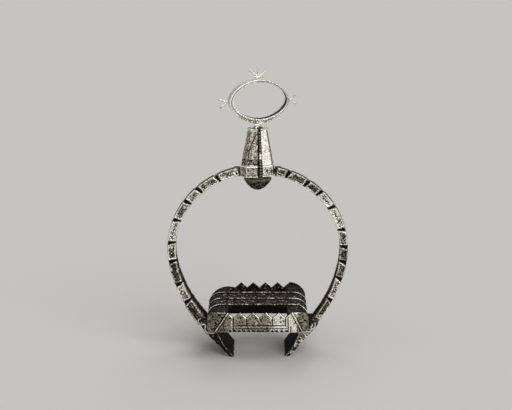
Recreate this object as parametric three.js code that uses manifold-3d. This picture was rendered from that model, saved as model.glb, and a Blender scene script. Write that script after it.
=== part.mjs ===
// Swivel-eye riding stirrup of forged iron: a round hoop, a slotted crown tread on two wedge
// feet, and a strap eye that turns on a riveted pin in a faceted neck.
// Millimetres. X runs across the stirrup, Y through it (the front faces -Y), Z up.
// The origin lies on the ground under the middle of the hoop.
import * as THREE from 'three';
import { ConvexGeometry } from 'three/addons/geometries/ConvexGeometry.js';
import { mergeVertices } from 'three/addons/utils/BufferGeometryUtils.js';
import Module from 'manifold-3d';

const wasm = await Module();
wasm.setup();

// Fits
const fitGap = 0.3;
const cutOverrun = 2;
const ringSteps = 72;
const arcSteps = 26;
const rodSides = 16;

// Feet: a wedge plate under each limb, thin at the sole and bent part way up its inner face.
// The reach shares place the outer face at the sole and at the top, as shares of the hoop's radius.
const footDepth = 37;
const footHeight = 20.5;
const leftFootReachShares = [0.31, 0.588];
const rightFootReachShares = [0.348, 0.602];
const footSoleWidth = 3.2;
const footBendWidth = 4.2;
const footTopWidth = 9;
const footBendHeight = 9.3;
const footSlotBottom = 11.3;
const footPinRadius = 0.9;
const footPinHeight = 16.8;
const footPinShare = 0.6;

// Hoop: two limbs of flat bar, bent round and let into the feet and the collar. Below an easing
// angle each limb's curve opens to a larger radius, and below its bend it runs on straight.
const hoopRadius = 68.4;
const hoopRiseShare = 0.95;
const hoopLiftShare = 0.8713;
const barThickness = 6.2;
const leftCurve = { easeAngle: 17, easeRadiusShare: 1.608, bendAngle: 36 };
const rightCurve = { easeAngle: 10, easeRadiusShare: 1.55, bendAngle: 34 };
const limbToeHeight = 21.2;
const limbUpperDepth = 6.6;
const limbLowerDepth = 10.4;
const limbFlareTop = 84;
const limbFlareBottom = 46;
const lugThickness = 2.5;
const lugReach = 6.1;
const webHeight = 6.2;
const webEdgeHeight = 1;
const limbEndGap = 2.4;
const limbEndHeight = 8.2;
const limbEndLength = 11;
const tenonHeight = 3.4;
const tenonDepth = 4.6;
const tenonReach = 4;
const shankHeight = 6.4;
const shankDepth = 5.4;
const cutWidth = 1.9;
const cutDepth = 0.9;
const leftCutAngles = [63, 48, 36.5, 21.5, 5, -8, -21.5, -29.5];
const rightCutAngles = [70, 56, 45, 32, 14.5, 2, -8.5, -16.5, -26.5];

// Tread: a bridge plate with two long slots between a front and a rear crown
const treadBottom = 26.7;
const treadWidthShare = 1.104;
const treadDepth = 75;
const treadHeight = 13.6;
const treadShoulderRadius = 9.6;
const treadInnerRadius = 5;
const treadEndWall = 3.3;
const treadTopThickness = 5.5;
const treadFlangeReach = 5;
const treadFlangeThickness = 2.2;
const platformDepth = 31.5;
const slotLengthShare = 0.583;
const ridgeWidth = 1.3;
const ridgeHeight = 0.9;
const ridgeSpreadShare = 0.92;

// Crown plates: the rear one's corners are rounder than the front one's
const crownThickness = 2.4;
const crownHeight = 14.8;
const crownShoulderRise = 0.5;
const crownFrontCorner = { widthShare: 0.073, height: 5.5, drop: 0 };
const crownRearRightCorner = { widthShare: 0.163, height: 11, drop: 0 };
const crownRearLeftCorner = { widthShare: 0.2, height: 11.6, drop: 3.5 };
const crownSetback = 2.2;
const crownBendLength = 10;
const toothPitchShare = 0.127;
const toothDepth = 4.2;
const toothShiftShare = 0.0185;
const notchCount = 5;
const nickPitchShare = 0.0464;
const nickDepth = 0.8;
const nickWidth = 1.8;
const nickCount = 11;

// Tread rivets
const rivetRadius = 1.2;
const rivetHeadRadius = 2.1;
const rivetHeadHeight = 0.9;
const rivetSpacing = 10;

// Collar and neck, both of one ten-sided section
const neckTurn = 16;
const collarHalfWidth = 13;
const collarHeight = 8.4;
const collarRise = 0.6;
const neckBottomHalfWidth = 12.3;
const neckTopHalfWidth = 7.4;
const neckHeight = 26;
const neckWall = 1.9;
const capHalfWidth = 7.9;
const capThickness = 1.2;
const sectionShares = [
  [0.155, -0.56], [0.77, -0.48], [1, 0], [0.77, 0.48], [0.155, 0.56],
  [-0.155, 0.56], [-0.77, 0.48], [-1, 0], [-0.77, -0.48], [-0.155, -0.56],
];

// Beaded strips on the front and rear of the collar and neck
const stripWidth = 2.2;
const stripBase = 0.5;
const beadPitch = 2.1;
const beadRise = 0.6;
const stepsPerBead = 4;
const stripEndGap = 0.4;

// Swivel pin, its washer and its dome head
const pinRadius = 2.6;
const pinSpigotRadius = 1.6;
const pinSeatDepth = 4;
const washerRadius = 7;
const washerThickness = 1;
const domeRadius = 10.9;
const domeHeight = 9.6;
const domeSides = 10;
const domeFlatteningShare = 0.75;
const domeProfileShares = [[0.95, 0.2], [0.78, 0.48], [0.48, 0.8]];

// Strap eye
const eyeTurn = 12.5;
const eyeHalfWidth = 22.4;
const eyeHalfHeight = 16.4;
const eyeOpeningHalfHeight = 13.8;
const eyeOpeningRise = 0.7;
const eyeThickness = 2.1;
const eyeDepth = 8.2;
const eyeRoundness = 1.82;
const eyeLift = 3.8;
const eyeShift = 0.5;
const eyeOpeningShift = 0.8;

// Star finials round the eye: each ray is an angle from straight out and a length
const rayBaseRadius = 0.65;
const rayTipRadius = 0.5;
const rayKnobRadius = 1;
const raySides = 8;
const topRays = [[50, 8.9], [6, 7.7], [-50, 8.4], [78, 4.1], [-78, 3.3]];
const leftRays = [[38, 6.6], [-22, 6.8]];
const rightRays = [[40, 5.6], [-32, 5.4]];
const footRays = [[128, 3.4], [85, 3.4], [40, 2.8], [-5, 3.2], [-50, 2.8], [-115, 5.4]];
const footStarDrop = 0.6;

// Sizes and places that follow
const radians = THREE.MathUtils.degToRad;
const hoopRise = hoopRadius * hoopRiseShare;
const hoopCentre = limbToeHeight + hoopRadius * hoopLiftShare;
const limbShoulder = footHeight + fitGap;
const treadWidth = hoopRadius * treadWidthShare;
const slotLength = treadWidth * slotLengthShare;
const toothPitch = treadWidth * toothPitchShare;
const nickPitch = treadWidth * nickPitchShare;
const toothShift = treadWidth * toothShiftShare;
const treadTop = treadBottom + treadHeight;
const crownTop = treadBottom + crownHeight;
const wallInnerX = treadWidth / 2 - treadEndWall;
const bodyHalfDepth = treadDepth / 2 - crownThickness;
const collarMid = hoopHeightAt(collarHalfWidth, barThickness / 2) + collarRise;
const collarBottom = collarMid - collarHeight / 2;
const collarTop = collarMid + collarHeight / 2;
const neckBottom = collarTop + fitGap;
const neckTop = neckBottom + neckHeight;
const capBottom = neckTop + fitGap;
const capTop = capBottom + capThickness;
const washerTop = collarBottom - fitGap;
const domeTop = washerTop - washerThickness - fitGap;
const eyeCentre = capTop + eyeLift + eyeHalfHeight;
const boreRadius = pinRadius + fitGap;

// Finishes
const brightIron = { color: 0xa9a79b, roughness: 0.42, metalness: 0.9 };
const wornIron = { color: 0x7d7a70, roughness: 0.5, metalness: 0.85 };
const darkIron = { color: 0x2e2a26, roughness: 0.6, metalness: 0.75 };

// Height of the hoop's upper half over a given X, for a given inset from its outside
function hoopHeightAt(x, inset) {
  return hoopCentre + (hoopRise - inset) * Math.sqrt(1 - (x / (hoopRadius - inset)) ** 2);
}

// A closed geometry as a solid that can be cut and joined
function toSolid(geometry) {
  const bare = geometry.clone();
  bare.deleteAttribute('normal');
  bare.deleteAttribute('uv');
  const merged = mergeVertices(bare);
  return new wasm.Manifold(new wasm.Mesh({
    numProp: 3,
    vertProperties: new Float32Array(merged.attributes.position.array),
    triVerts: new Uint32Array(merged.index.array),
  }));
}

// A solid as a geometry again
function toGeometry(solid) {
  const mesh = solid.getMesh();
  const geometry = new THREE.BufferGeometry();
  geometry.setAttribute('position', new THREE.BufferAttribute(mesh.vertProperties, 3));
  geometry.setIndex(new THREE.BufferAttribute(mesh.triVerts, 1));
  geometry.computeVertexNormals();
  return geometry;
}

function join(solids) {
  return solids.reduce((whole, next) => whole.add(next));
}

function cut(solid, tools) {
  return tools.reduce((rest, tool) => rest.subtract(tool), solid);
}

function shapeOf(points) {
  return new THREE.Shape(points.map(([a, b]) => new THREE.Vector2(a, b)));
}

function extrusion(shape, depth) {
  return new THREE.ExtrudeGeometry(shape, { depth, bevelEnabled: false, curveSegments: arcSteps });
}

// An outline in X and Z, carried through from yFront to yBack
function throughDepth(points, yFront, yBack) {
  const geometry = extrusion(shapeOf(points), yBack - yFront);
  return geometry.rotateX(Math.PI / 2).translate(0, yBack, 0);
}

// An outline in Y and Z, carried across from xLeft to xRight
function acrossWidth(points, xLeft, xRight) {
  const basis = new THREE.Matrix4().makeBasis(
    new THREE.Vector3(0, 1, 0),
    new THREE.Vector3(0, 0, 1),
    new THREE.Vector3(1, 0, 0),
  );
  return extrusion(shapeOf(points), xRight - xLeft).applyMatrix4(basis).translate(xLeft, 0, 0);
}

// An outline in X and Y, carried up from zBottom to zTop
function upHeight(points, zBottom, zTop) {
  return extrusion(shapeOf(points), zTop - zBottom).translate(0, 0, zBottom);
}

function block(width, depth, height, x, y, z) {
  return new THREE.BoxGeometry(width, depth, height).translate(x, y, z);
}

function uprightRod(radius, zBottom, zTop) {
  const height = zTop - zBottom;
  const rod = new THREE.CylinderGeometry(radius, radius, height, rodSides);
  return rod.rotateX(Math.PI / 2).translate(0, 0, zBottom + height / 2);
}

// A profile of radius and height, spun round the upright axis
function spun(points, sides) {
  const profile = points.map(([radius, height]) => new THREE.Vector2(radius, height));
  return new THREE.LatheGeometry(profile, sides).rotateX(Math.PI / 2);
}

function ovalArc(x, z, width, height, fromAngle, toAngle, steps) {
  return Array.from({ length: steps + 1 }, (_, i) => {
    const angle = radians(fromAngle + (toAngle - fromAngle) * i / steps);
    return [x + width * Math.cos(angle), z + height * Math.sin(angle)];
  });
}

function arcPoints(x, z, radius, fromAngle, toAngle, steps) {
  return ovalArc(x, z, radius, radius, fromAngle, toAngle, steps);
}

// A point of a limb's curve where it faces a given angle from level, inset from its outside
function hoopPoint(curve, angle, inset) {
  const eased = angle < -curve.easeAngle;
  const radius = eased ? hoopRadius * curve.easeRadiusShare : hoopRadius;
  const height = angle > 0 ? hoopRise : radius;
  const easeX = (hoopRadius - radius) * Math.cos(radians(curve.easeAngle));
  const easeZ = (radius - hoopRadius) * Math.sin(radians(curve.easeAngle));
  return [
    easeX + (radius - inset) * Math.cos(radians(angle)),
    hoopCentre + easeZ + (height - inset) * Math.sin(radians(angle)),
  ];
}

function hoopPoints(curve, inset, fromAngle, toAngle) {
  return Array.from({ length: ringSteps / 2 + 1 }, (_, i) => (
    hoopPoint(curve, fromAngle + (toAngle - fromAngle) * i * 2 / ringSteps, inset)));
}

function mirrored(points) {
  return points.map(([x, z]) => [-x, z]).reverse();
}

function onSide(points, side) {
  return points.map(([x, z]) => [side * x, z]);
}

function part(name, geometry, finish) {
  const mesh = new THREE.Mesh(geometry, new THREE.MeshStandardMaterial(finish));
  mesh.name = name;
  return mesh;
}

// Distance of the foot's outer face from the middle at a given height
function footOuterX(side, z) {
  const [sole, top] = side < 0 ? leftFootReachShares : rightFootReachShares;
  return hoopRadius * (sole + (top - sole) * z / footHeight);
}

// Distance of the foot's inner face from the middle, between its bend and its top
function footInnerX(side, z) {
  const share = (z - footBendHeight) / (footHeight - footBendHeight);
  const bendX = footOuterX(side, footBendHeight) - footBendWidth;
  return bendX + (footOuterX(side, footHeight) - footTopWidth - bendX) * share;
}

// Foot plate: a wedge with a slot for the limb's tongue
function footGeometry(side) {
  const outline = [
    [footOuterX(side, 0) - footSoleWidth, 0],
    [footOuterX(side, 0), 0],
    [footOuterX(side, footHeight), footHeight],
    [footInnerX(side, footHeight), footHeight],
    [footInnerX(side, footBendHeight), footBendHeight],
  ];
  const plate = toSolid(throughDepth(onSide(outline, side), -footDepth / 2, footDepth / 2));
  const slotHeight = footHeight - footSlotBottom + cutOverrun;
  const slotDepth = limbLowerDepth + 2 * fitGap;
  const slot = block(treadWidth, slotDepth, slotHeight, side * treadWidth / 2, 0,
    footSlotBottom + slotHeight / 2);
  const tools = [slot, footPinRod(side, footPinRadius + fitGap, footDepth + cutOverrun)];
  return toGeometry(cut(plate, tools.map(toSolid)));
}

// Cross pin through the foot and the tongue
function footPinRod(side, radius, length) {
  const innerX = footInnerX(side, footPinHeight);
  const x = innerX + (footOuterX(side, footPinHeight) - innerX) * footPinShare;
  const rod = new THREE.CylinderGeometry(radius, radius, length, rodSides);
  return rod.translate(side * x, 0, footPinHeight);
}

function rivetPlaces(side) {
  const x = side * (wallInnerX - treadFlangeReach / 2);
  return [[x, -rivetSpacing / 2], [x, rivetSpacing / 2]];
}

function rivetHole(x, y) {
  const bottom = treadBottom - lugThickness - cutOverrun;
  const top = treadBottom + treadFlangeThickness + cutOverrun;
  return uprightRod(rivetRadius + fitGap, bottom, top).translate(x, y, 0);
}

// A point of a limb's straight lower end at a given height, inset from its outside
function straightX(curve, inset, z) {
  const [bendX, bendZ] = hoopPoint(curve, -curve.bendAngle, inset);
  return bendX - (bendZ - z) * Math.tan(radians(curve.bendAngle));
}

// Web that spreads a limb's lower end over the foot's top and closes the corner beside the tread
function limbWeb(side, curve) {
  const innerX = treadWidth / 2 + fitGap;
  const endX = footOuterX(side, footHeight);
  const top = limbShoulder + webHeight;
  const endTop = limbShoulder + webEdgeHeight;
  const middle = [
    [innerX, limbShoulder],
    [straightX(curve, 0, limbToeHeight), limbToeHeight],
    [straightX(curve, barThickness / 2, top), top],
    [innerX, top],
  ];
  const end = [[innerX, limbShoulder], [endX, limbShoulder], [endX, endTop], [innerX, endTop]];
  const rows = [[middle, limbLowerDepth / 2], [end, footDepth / 2 - fitGap]];
  const points = rows.flatMap(([outline, y]) => onSide(outline, side).flatMap(([x, z]) => (
    [new THREE.Vector3(x, -y, z), new THREE.Vector3(x, y, z)])));
  return new ConvexGeometry(points);
}

// Limb: half the hoop, with a thin shank and a tenon at the collar, a web over the foot, a lug
// for the tread and a tongue in the foot
function limbGeometry(side, curve, cutAngles) {
  const innerRadius = hoopRadius - barThickness;
  const endX = collarHalfWidth + limbEndGap;
  const outerStart = THREE.MathUtils.radToDeg(Math.acos(endX / hoopRadius));
  const innerStart = THREE.MathUtils.radToDeg(Math.acos((endX + limbEndLength) / innerRadius));
  const tongueBottom = footSlotBottom + fitGap;
  const lugBottom = treadBottom - lugThickness;
  const lugX = wallInnerX - lugReach;
  const lugRootX = wallInnerX - treadFlangeReach / 2 + rivetHeadRadius + fitGap;
  const outline = [
    ...hoopPoints(curve, 0, outerStart, -curve.bendAngle),
    [straightX(curve, 0, limbToeHeight), limbToeHeight],
    [footOuterX(side, limbShoulder), limbShoulder],
    [footOuterX(side, tongueBottom), tongueBottom],
    [footInnerX(side, tongueBottom), tongueBottom],
    [footInnerX(side, limbShoulder), limbShoulder],
    [lugRootX, limbShoulder],
    [lugRootX, lugBottom],
    [lugX, lugBottom],
    [lugX, treadBottom],
    [straightX(curve, barThickness, treadBottom), treadBottom],
    ...hoopPoints(curve, barThickness, -curve.bendAngle, innerStart),
    [endX, hoopHeightAt(endX, 0) - limbEndHeight],
  ];
  const half = limbLowerDepth / 2;
  const bar = toSolid(throughDepth(onSide(outline, side), -half, half));
  const rightSilhouette = [
    [half, 0],
    [half, limbFlareBottom],
    [limbUpperDepth / 2, limbFlareTop],
    [limbUpperDepth / 2, hoopCentre + hoopRadius + cutOverrun],
  ];
  const silhouette = [...rightSilhouette, ...mirrored(rightSilhouette)];
  const reach = hoopRadius + cutOverrun;
  const envelope = toSolid(acrossWidth(silhouette, -reach, reach));
  const tenonLength = tenonReach + limbEndGap + cutOverrun;
  const tenonX = side * (collarHalfWidth - tenonReach + tenonLength / 2);
  const tenon = toSolid(block(tenonLength, tenonDepth, tenonHeight, tenonX, 0, tenonMid()));
  const shankStart = collarHalfWidth * Math.cos(radians(neckTurn)) + fitGap;
  const shankLength = endX + cutOverrun - shankStart;
  const shankX = side * (shankStart + shankLength / 2);
  const shank = toSolid(block(shankLength, shankDepth, shankHeight, shankX, 0, tenonMid()));
  const web = toSolid(limbWeb(side, curve));
  const body = join([bar.intersect(envelope), web, shank, tenon]);
  const holes = [
    footPinRod(side, footPinRadius + fitGap, footDepth + cutOverrun),
    ...rivetPlaces(side).map(([x, y]) => rivetHole(x, y)),
  ];
  return toGeometry(cut(body, [...holes.map(toSolid), ...chiselCuts(side, curve, cutAngles)]));
}

// The tenon lies halfway between the middle of the collar and the middle of the limb's end
function tenonMid() {
  const limbEndMid = hoopHeightAt(collarHalfWidth + limbEndGap, 0) - limbEndHeight / 2;
  return (collarMid + limbEndMid) / 2;
}

function limbDepthAt(z) {
  const share = THREE.MathUtils.clamp((limbFlareTop - z) / (limbFlareTop - limbFlareBottom), 0, 1);
  return limbUpperDepth + (limbLowerDepth - limbUpperDepth) * share;
}

// Chisel cuts across the front and rear faces of the bar
function chiselCuts(side, curve, cutAngles) {
  const toolLength = barThickness + cutOverrun;
  const toolShape = new THREE.BoxGeometry(toolLength, cutWidth, cutWidth).rotateX(Math.PI / 4);
  const sink = cutWidth * Math.SQRT1_2 - cutDepth;
  return cutAngles.flatMap((angle) => [-1, 1].map((face) => {
    const [x, z] = hoopPoint(curve, angle, barThickness / 2);
    const tool = toolShape.clone().rotateY(-radians(angle));
    tool.translate(x, face * (limbDepthAt(z) / 2 + sink), z);
    if (side < 0) {
      tool.rotateZ(Math.PI);
    }
    return toSolid(tool);
  }));
}

// Bridge plate of the tread: end walls with flanges, rounded shoulders and a ridged platform
function treadBodyGeometry() {
  const half = treadWidth / 2;
  const radius = treadShoulderRadius;
  const innerRadius = treadInnerRadius;
  const underside = treadTop - treadTopThickness;
  const flangeX = wallInnerX - treadFlangeReach;
  const flangeTop = treadBottom + treadFlangeThickness;
  const outline = [
    [flangeX, treadBottom],
    [half, treadBottom],
    ...arcPoints(half - radius, treadTop - radius, radius, 0, 90, arcSteps / 2),
    ...mirrored(arcPoints(half - radius, treadTop - radius, radius, 0, 90, arcSteps / 2)),
    [-half, treadBottom],
    [-flangeX, treadBottom],
    [-flangeX, flangeTop],
    [-wallInnerX, flangeTop],
    ...mirrored(arcPoints(wallInnerX - innerRadius, underside - innerRadius, innerRadius, 0, 90,
      arcSteps / 2)).reverse(),
    ...arcPoints(wallInnerX - innerRadius, underside - innerRadius, innerRadius, 90, 0,
      arcSteps / 2),
    [wallInnerX, flangeTop],
    [flangeX, flangeTop],
  ];
  const edge = treadEdge(crownThickness + fitGap);
  const plan = toSolid(upHeight([...edge, ...edge.map(([x, y]) => [-x, -y])], 0, crownTop));
  const bridge = toSolid(throughDepth(outline, -treadDepth / 2, treadDepth / 2)).intersect(plan);
  const slotDepth = (treadDepth - platformDepth) / 2;
  const slotY = platformDepth / 2 + slotDepth / 2;
  const slots = [-1, 1].map((face) => toSolid(
    block(slotLength, slotDepth, treadHeight + cutOverrun, 0, face * slotY, treadTop)));
  const holes = [-1, 1].flatMap(rivetPlaces).map(([x, y]) => toSolid(rivetHole(x, y)));
  const ridges = [-1, 0, 1].map((place) => ridgeSolid(place * platformDepth / 2 * ridgeSpreadShare));
  return toGeometry(cut(join([bridge, ...ridges]), [...slots, ...holes]));
}

// One raised ridge that runs over the platform and down both shoulders
function ridgeSolid(y) {
  const half = treadWidth / 2;
  const radius = treadShoulderRadius;
  const centreX = half - radius;
  const centreZ = treadTop - radius;
  const outer = arcPoints(centreX, centreZ, radius + ridgeHeight, 0, 90, arcSteps / 2);
  const inner = arcPoints(centreX, centreZ, radius - treadEndWall / 2, 90, 0, arcSteps / 2);
  const outline = [...outer, ...mirrored(outer), ...mirrored(inner), ...inner];
  const clipped = toSolid(throughDepth(outline, y - ridgeWidth / 2, y + ridgeWidth / 2));
  const keep = block(treadWidth, treadDepth, treadHeight * 2, 0, 0, treadTop);
  return clipped.intersect(toSolid(keep));
}

// Crown plate: a bent-back wall with pointed teeth above and small nicks below
function crownGeometry(face, leftCorner, rightCorner) {
  const half = treadWidth / 2;
  const shoulderTop = crownTop + crownShoulderRise;
  const leftTop = shoulderTop - leftCorner.drop;
  const rightTop = shoulderTop - rightCorner.drop;
  const leftWidth = treadWidth * leftCorner.widthShare;
  const rightWidth = treadWidth * rightCorner.widthShare;
  const notchZ = crownTop - toothDepth;
  const firstNotch = toothShift - toothPitch * (notchCount - 1) / 2;
  const teeth = Array.from({ length: notchCount }, (_, i) => firstNotch + i * toothPitch)
    .flatMap((x, i) => (i < notchCount - 1 ? [[x, notchZ], [x + toothPitch / 2, crownTop]] : [[x, notchZ]]));
  const lastNotch = firstNotch + toothPitch * (notchCount - 1);
  const outline = [
    [-half, treadBottom],
    ...nickPoints(),
    [half, treadBottom],
    ...ovalArc(half - rightWidth, rightTop - rightCorner.height, rightWidth, rightCorner.height,
      0, 90, arcSteps / 2),
    [lastNotch + toothPitch / 2, rightTop],
    ...teeth.reverse(),
    [firstNotch - toothPitch / 2, leftTop],
    ...ovalArc(leftWidth - half, leftTop - leftCorner.height, leftWidth, leftCorner.height,
      90, 180, arcSteps / 2),
  ];
  const wall = toSolid(throughDepth(outline, -treadDepth / 2, treadDepth / 2));
  const plan = [...treadEdge(0), ...treadEdge(crownThickness).reverse()];
  const planSolid = toSolid(upHeight(plan.map(([x, y]) => [x, face * y]), 0, shoulderTop + cutOverrun));
  return toGeometry(wall.intersect(planSolid));
}

// The tread's long edge seen from above, bent back at both ends, at a given inset
function treadEdge(inset) {
  const half = treadWidth / 2;
  const bendX = half - crownBendLength;
  const y = treadDepth / 2 - inset;
  return [[half, y - crownSetback], [bendX, y], [-bendX, y], [-half, y - crownSetback]];
}

function nickPoints() {
  const first = toothShift - nickPitch * (nickCount - 1) / 2;
  return Array.from({ length: nickCount }, (_, i) => first + i * nickPitch).flatMap((x) => [
    [x - nickWidth / 2, treadBottom],
    [x, treadBottom + nickDepth],
    [x + nickWidth / 2, treadBottom],
  ]);
}

// Rivet that holds the tread's flange to the limb's lug
function rivetGeometry(x, y) {
  const bottom = treadBottom - lugThickness - fitGap;
  const top = treadBottom + treadFlangeThickness + fitGap;
  const profile = [
    [0, bottom - rivetHeadHeight],
    [rivetHeadRadius * Math.SQRT1_2, bottom - rivetHeadHeight],
    [rivetHeadRadius, bottom],
    [rivetRadius, bottom],
    [rivetRadius, top],
    [rivetHeadRadius, top],
    [rivetHeadRadius * Math.SQRT1_2, top + rivetHeadHeight],
    [0, top + rivetHeadHeight],
  ];
  return spun(profile, rodSides).translate(x, y, 0);
}

// Ten-sided section at a given half width
function sectionPoints(halfWidth) {
  return sectionShares.map(([x, y]) => [x * halfWidth, y * halfWidth]);
}

// A prism of that section whose top is drawn in
function taperedPrism(bottomHalfWidth, topHalfWidth, zBottom, zTop) {
  const geometry = upHeight(sectionPoints(bottomHalfWidth), zBottom, zTop);
  const position = geometry.attributes.position;
  for (let i = 0; i < position.count; i += 1) {
    if (position.getZ(i) > (zBottom + zTop) / 2) {
      const share = topHalfWidth / bottomHalfWidth;
      position.setXY(i, position.getX(i) * share, position.getY(i) * share);
    }
  }
  return geometry;
}

function boreTool(zBottom, zTop) {
  return toSolid(uprightRod(boreRadius, zBottom - cutOverrun, zTop + cutOverrun));
}

// Collar: takes the limbs' tenons at its sides and the pin through its middle
function collarGeometry() {
  const outer = upHeight(sectionPoints(collarHalfWidth), collarBottom, collarTop);
  const body = toSolid(outer.rotateZ(radians(neckTurn)));
  const pockets = [-1, 1].map((side) => {
    const length = tenonReach + fitGap + cutOverrun;
    const x = side * (collarHalfWidth - tenonReach - fitGap + length / 2);
    return toSolid(block(length, tenonDepth + 2 * fitGap, tenonHeight + 2 * fitGap, x, 0, tenonMid()));
  });
  return toGeometry(cut(body, [boreTool(collarBottom, collarTop), ...pockets]));
}

// Neck: a drawn-in sleeve round the pin
function neckGeometry() {
  const outer = toSolid(taperedPrism(neckBottomHalfWidth, neckTopHalfWidth, neckBottom, neckTop));
  const hollow = toSolid(taperedPrism(neckBottomHalfWidth - neckWall, neckTopHalfWidth - neckWall,
    neckBottom - fitGap, neckTop - neckWall));
  return toGeometry(cut(outer, [hollow, boreTool(neckBottom, neckTop)]));
}

function capGeometry() {
  const plate = toSolid(upHeight(sectionPoints(capHalfWidth), capBottom, capTop));
  return toGeometry(cut(plate, [boreTool(capBottom, capTop)]));
}

// Beaded strip up the flat of the collar and the neck
function stripGeometry() {
  const flatShare = -sectionShares[0][1];
  const collarY = collarHalfWidth * flatShare + fitGap;
  const neckY = neckBottomHalfWidth * flatShare + fitGap;
  const topY = neckTopHalfWidth * flatShare + fitGap;
  const stepTop = neckBottom + stripBase;
  const lower = beadedRun(collarY, collarBottom + stripEndGap, collarY, stepTop);
  const upper = beadedRun(neckY, stepTop, topY, neckTop - stripEndGap);
  const outline = [
    [collarY, collarBottom + stripEndGap],
    ...lower,
    ...upper,
    [topY, neckTop - stripEndGap],
    [neckY, neckBottom],
    [collarY, neckBottom],
  ];
  const facingFront = outline.map(([y, z]) => [-y, z]);
  return acrossWidth(facingFront, -stripWidth / 2, stripWidth / 2);
}

// The outer edge of a strip, with one bump for each bead
function beadedRun(yStart, zStart, yEnd, zEnd) {
  const count = Math.round((zEnd - zStart) / beadPitch);
  const steps = count * stepsPerBead;
  return Array.from({ length: steps + 1 }, (_, i) => {
    const share = i / steps;
    const bump = Math.abs(Math.sin(Math.PI * share * count)) * beadRise;
    return [yStart + (yEnd - yStart) * share + stripBase + bump, zStart + (zEnd - zStart) * share];
  });
}

// Point at an angle on an oval of the eye's roundness
function ovalPoint(angle, halfWidth, halfHeight, x, z) {
  const power = 2 / eyeRoundness;
  const across = Math.cos(angle);
  const up = Math.sin(angle);
  return [
    x + halfWidth * Math.sign(across) * Math.abs(across) ** power,
    z + halfHeight * Math.sign(up) * Math.abs(up) ** power,
  ];
}

function ovalPoints(halfWidth, halfHeight, x, z) {
  return Array.from({ length: ringSteps }, (_, i) => (
    ovalPoint(2 * Math.PI * i / ringSteps, halfWidth, halfHeight, x, z)));
}

function eyeRingGeometry() {
  const outerPoints = ovalPoints(eyeHalfWidth, eyeHalfHeight, eyeShift, eyeCentre);
  const outer = toSolid(throughDepth(outerPoints, -eyeDepth / 2, eyeDepth / 2));
  const openingPoints = ovalPoints(eyeHalfWidth - eyeThickness, eyeOpeningHalfHeight,
    eyeShift + eyeOpeningShift, eyeCentre + eyeOpeningRise);
  const opening = toSolid(throughDepth(openingPoints, -eyeDepth, eyeDepth));
  const seat = toSolid(uprightRod(pinSpigotRadius + fitGap, capTop, eyeCentre));
  return toGeometry(cut(outer, [opening, seat]));
}

// Pin: seated in the dome head below, let through the foot of the eye above
function pinGeometry() {
  const eyeBottom = eyeCentre - eyeHalfHeight;
  const spigotTop = eyeCentre + eyeOpeningRise - eyeOpeningHalfHeight;
  const profile = [
    [0, domeTop - pinSeatDepth],
    [pinRadius, domeTop - pinSeatDepth],
    [pinRadius, eyeBottom - fitGap],
    [pinSpigotRadius, eyeBottom - fitGap],
    [pinSpigotRadius, spigotTop],
    [0, spigotTop],
  ];
  return spun(profile, rodSides);
}

function washerGeometry() {
  const bottom = washerTop - washerThickness;
  const profile = [
    [boreRadius, bottom],
    [washerRadius, bottom],
    [washerRadius, washerTop],
    [boreRadius, washerTop],
    [boreRadius, bottom],
  ];
  return spun(profile, rodSides);
}

function domeGeometry() {
  const curve = domeProfileShares.map(([radius, drop]) => [
    radius * domeRadius,
    domeTop - drop * domeHeight,
  ]);
  const profile = [[0, domeTop - domeHeight], ...curve.reverse(), [domeRadius, domeTop], [0, domeTop]];
  const dome = spun(profile, domeSides).rotateZ(Math.PI / domeSides).scale(1, domeFlatteningShare, 1);
  const seat = uprightRod(boreRadius, domeTop - pinSeatDepth - fitGap, domeTop + cutOverrun);
  return toGeometry(cut(toSolid(dome), [toSolid(seat)]));
}

// Star: rays that leave one knob, each leaning from straight up in the plane of the eye
function starGeometry(rays) {
  const knob = new THREE.SphereGeometry(rayKnobRadius, raySides, raySides);
  const rods = rays.map(([lean, length]) => {
    const ray = new THREE.CylinderGeometry(rayTipRadius, rayBaseRadius, length, raySides);
    return ray.rotateX(Math.PI / 2).translate(0, 0, length / 2).rotateY(-radians(lean));
  });
  return toGeometry(join([knob, ...rods].map(toSolid)));
}

// Frame: all that stays still
const frame = new THREE.Group();
const sides = [
  ['left', -1, leftCurve, leftCutAngles],
  ['right', 1, rightCurve, rightCutAngles],
];
for (const [word, side, curve, cutAngles] of sides) {
  frame.add(part(`limb_${word}`, limbGeometry(side, curve, cutAngles), brightIron));
  frame.add(part(`foot_${word}`, footGeometry(side), wornIron));
  frame.add(part(`foot_pin_${word}`, footPinRod(side, footPinRadius, footDepth), darkIron));
  rivetPlaces(side).forEach(([x, y]) => {
    const place = y < 0 ? 'front' : 'rear';
    frame.add(part(`tread_rivet_${word}_${place}`, rivetGeometry(x, y), darkIron));
  });
}
frame.add(part('tread_body', treadBodyGeometry(), wornIron));
const frontCrown = crownGeometry(-1, crownFrontCorner, crownFrontCorner);
const rearCrown = crownGeometry(1, crownRearLeftCorner, crownRearRightCorner);
frame.add(part('tread_front_crown', frontCrown, brightIron));
frame.add(part('tread_rear_crown', rearCrown, darkIron));
frame.add(part('collar', collarGeometry(), brightIron));

const neck = new THREE.Group();
neck.rotation.z = radians(neckTurn);
neck.add(part('neck_sleeve', neckGeometry(), brightIron));
neck.add(part('neck_cap', capGeometry(), wornIron));
neck.add(part('bead_strip_front', stripGeometry(), wornIron));
const rearStrip = part('bead_strip_rear', stripGeometry(), wornIron);
rearStrip.rotation.z = Math.PI;
neck.add(rearStrip);
frame.add(neck);

// Strap eye: all that turns on the pin's axis
const eye = new THREE.Group();
eye.rotation.z = radians(eyeTurn);
eye.add(part('eye_ring', eyeRingGeometry(), brightIron));
eye.add(part('swivel_pin', pinGeometry(), darkIron));
eye.add(part('swivel_washer', washerGeometry(), darkIron));
eye.add(part('dome_head', domeGeometry(), darkIron));

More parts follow.
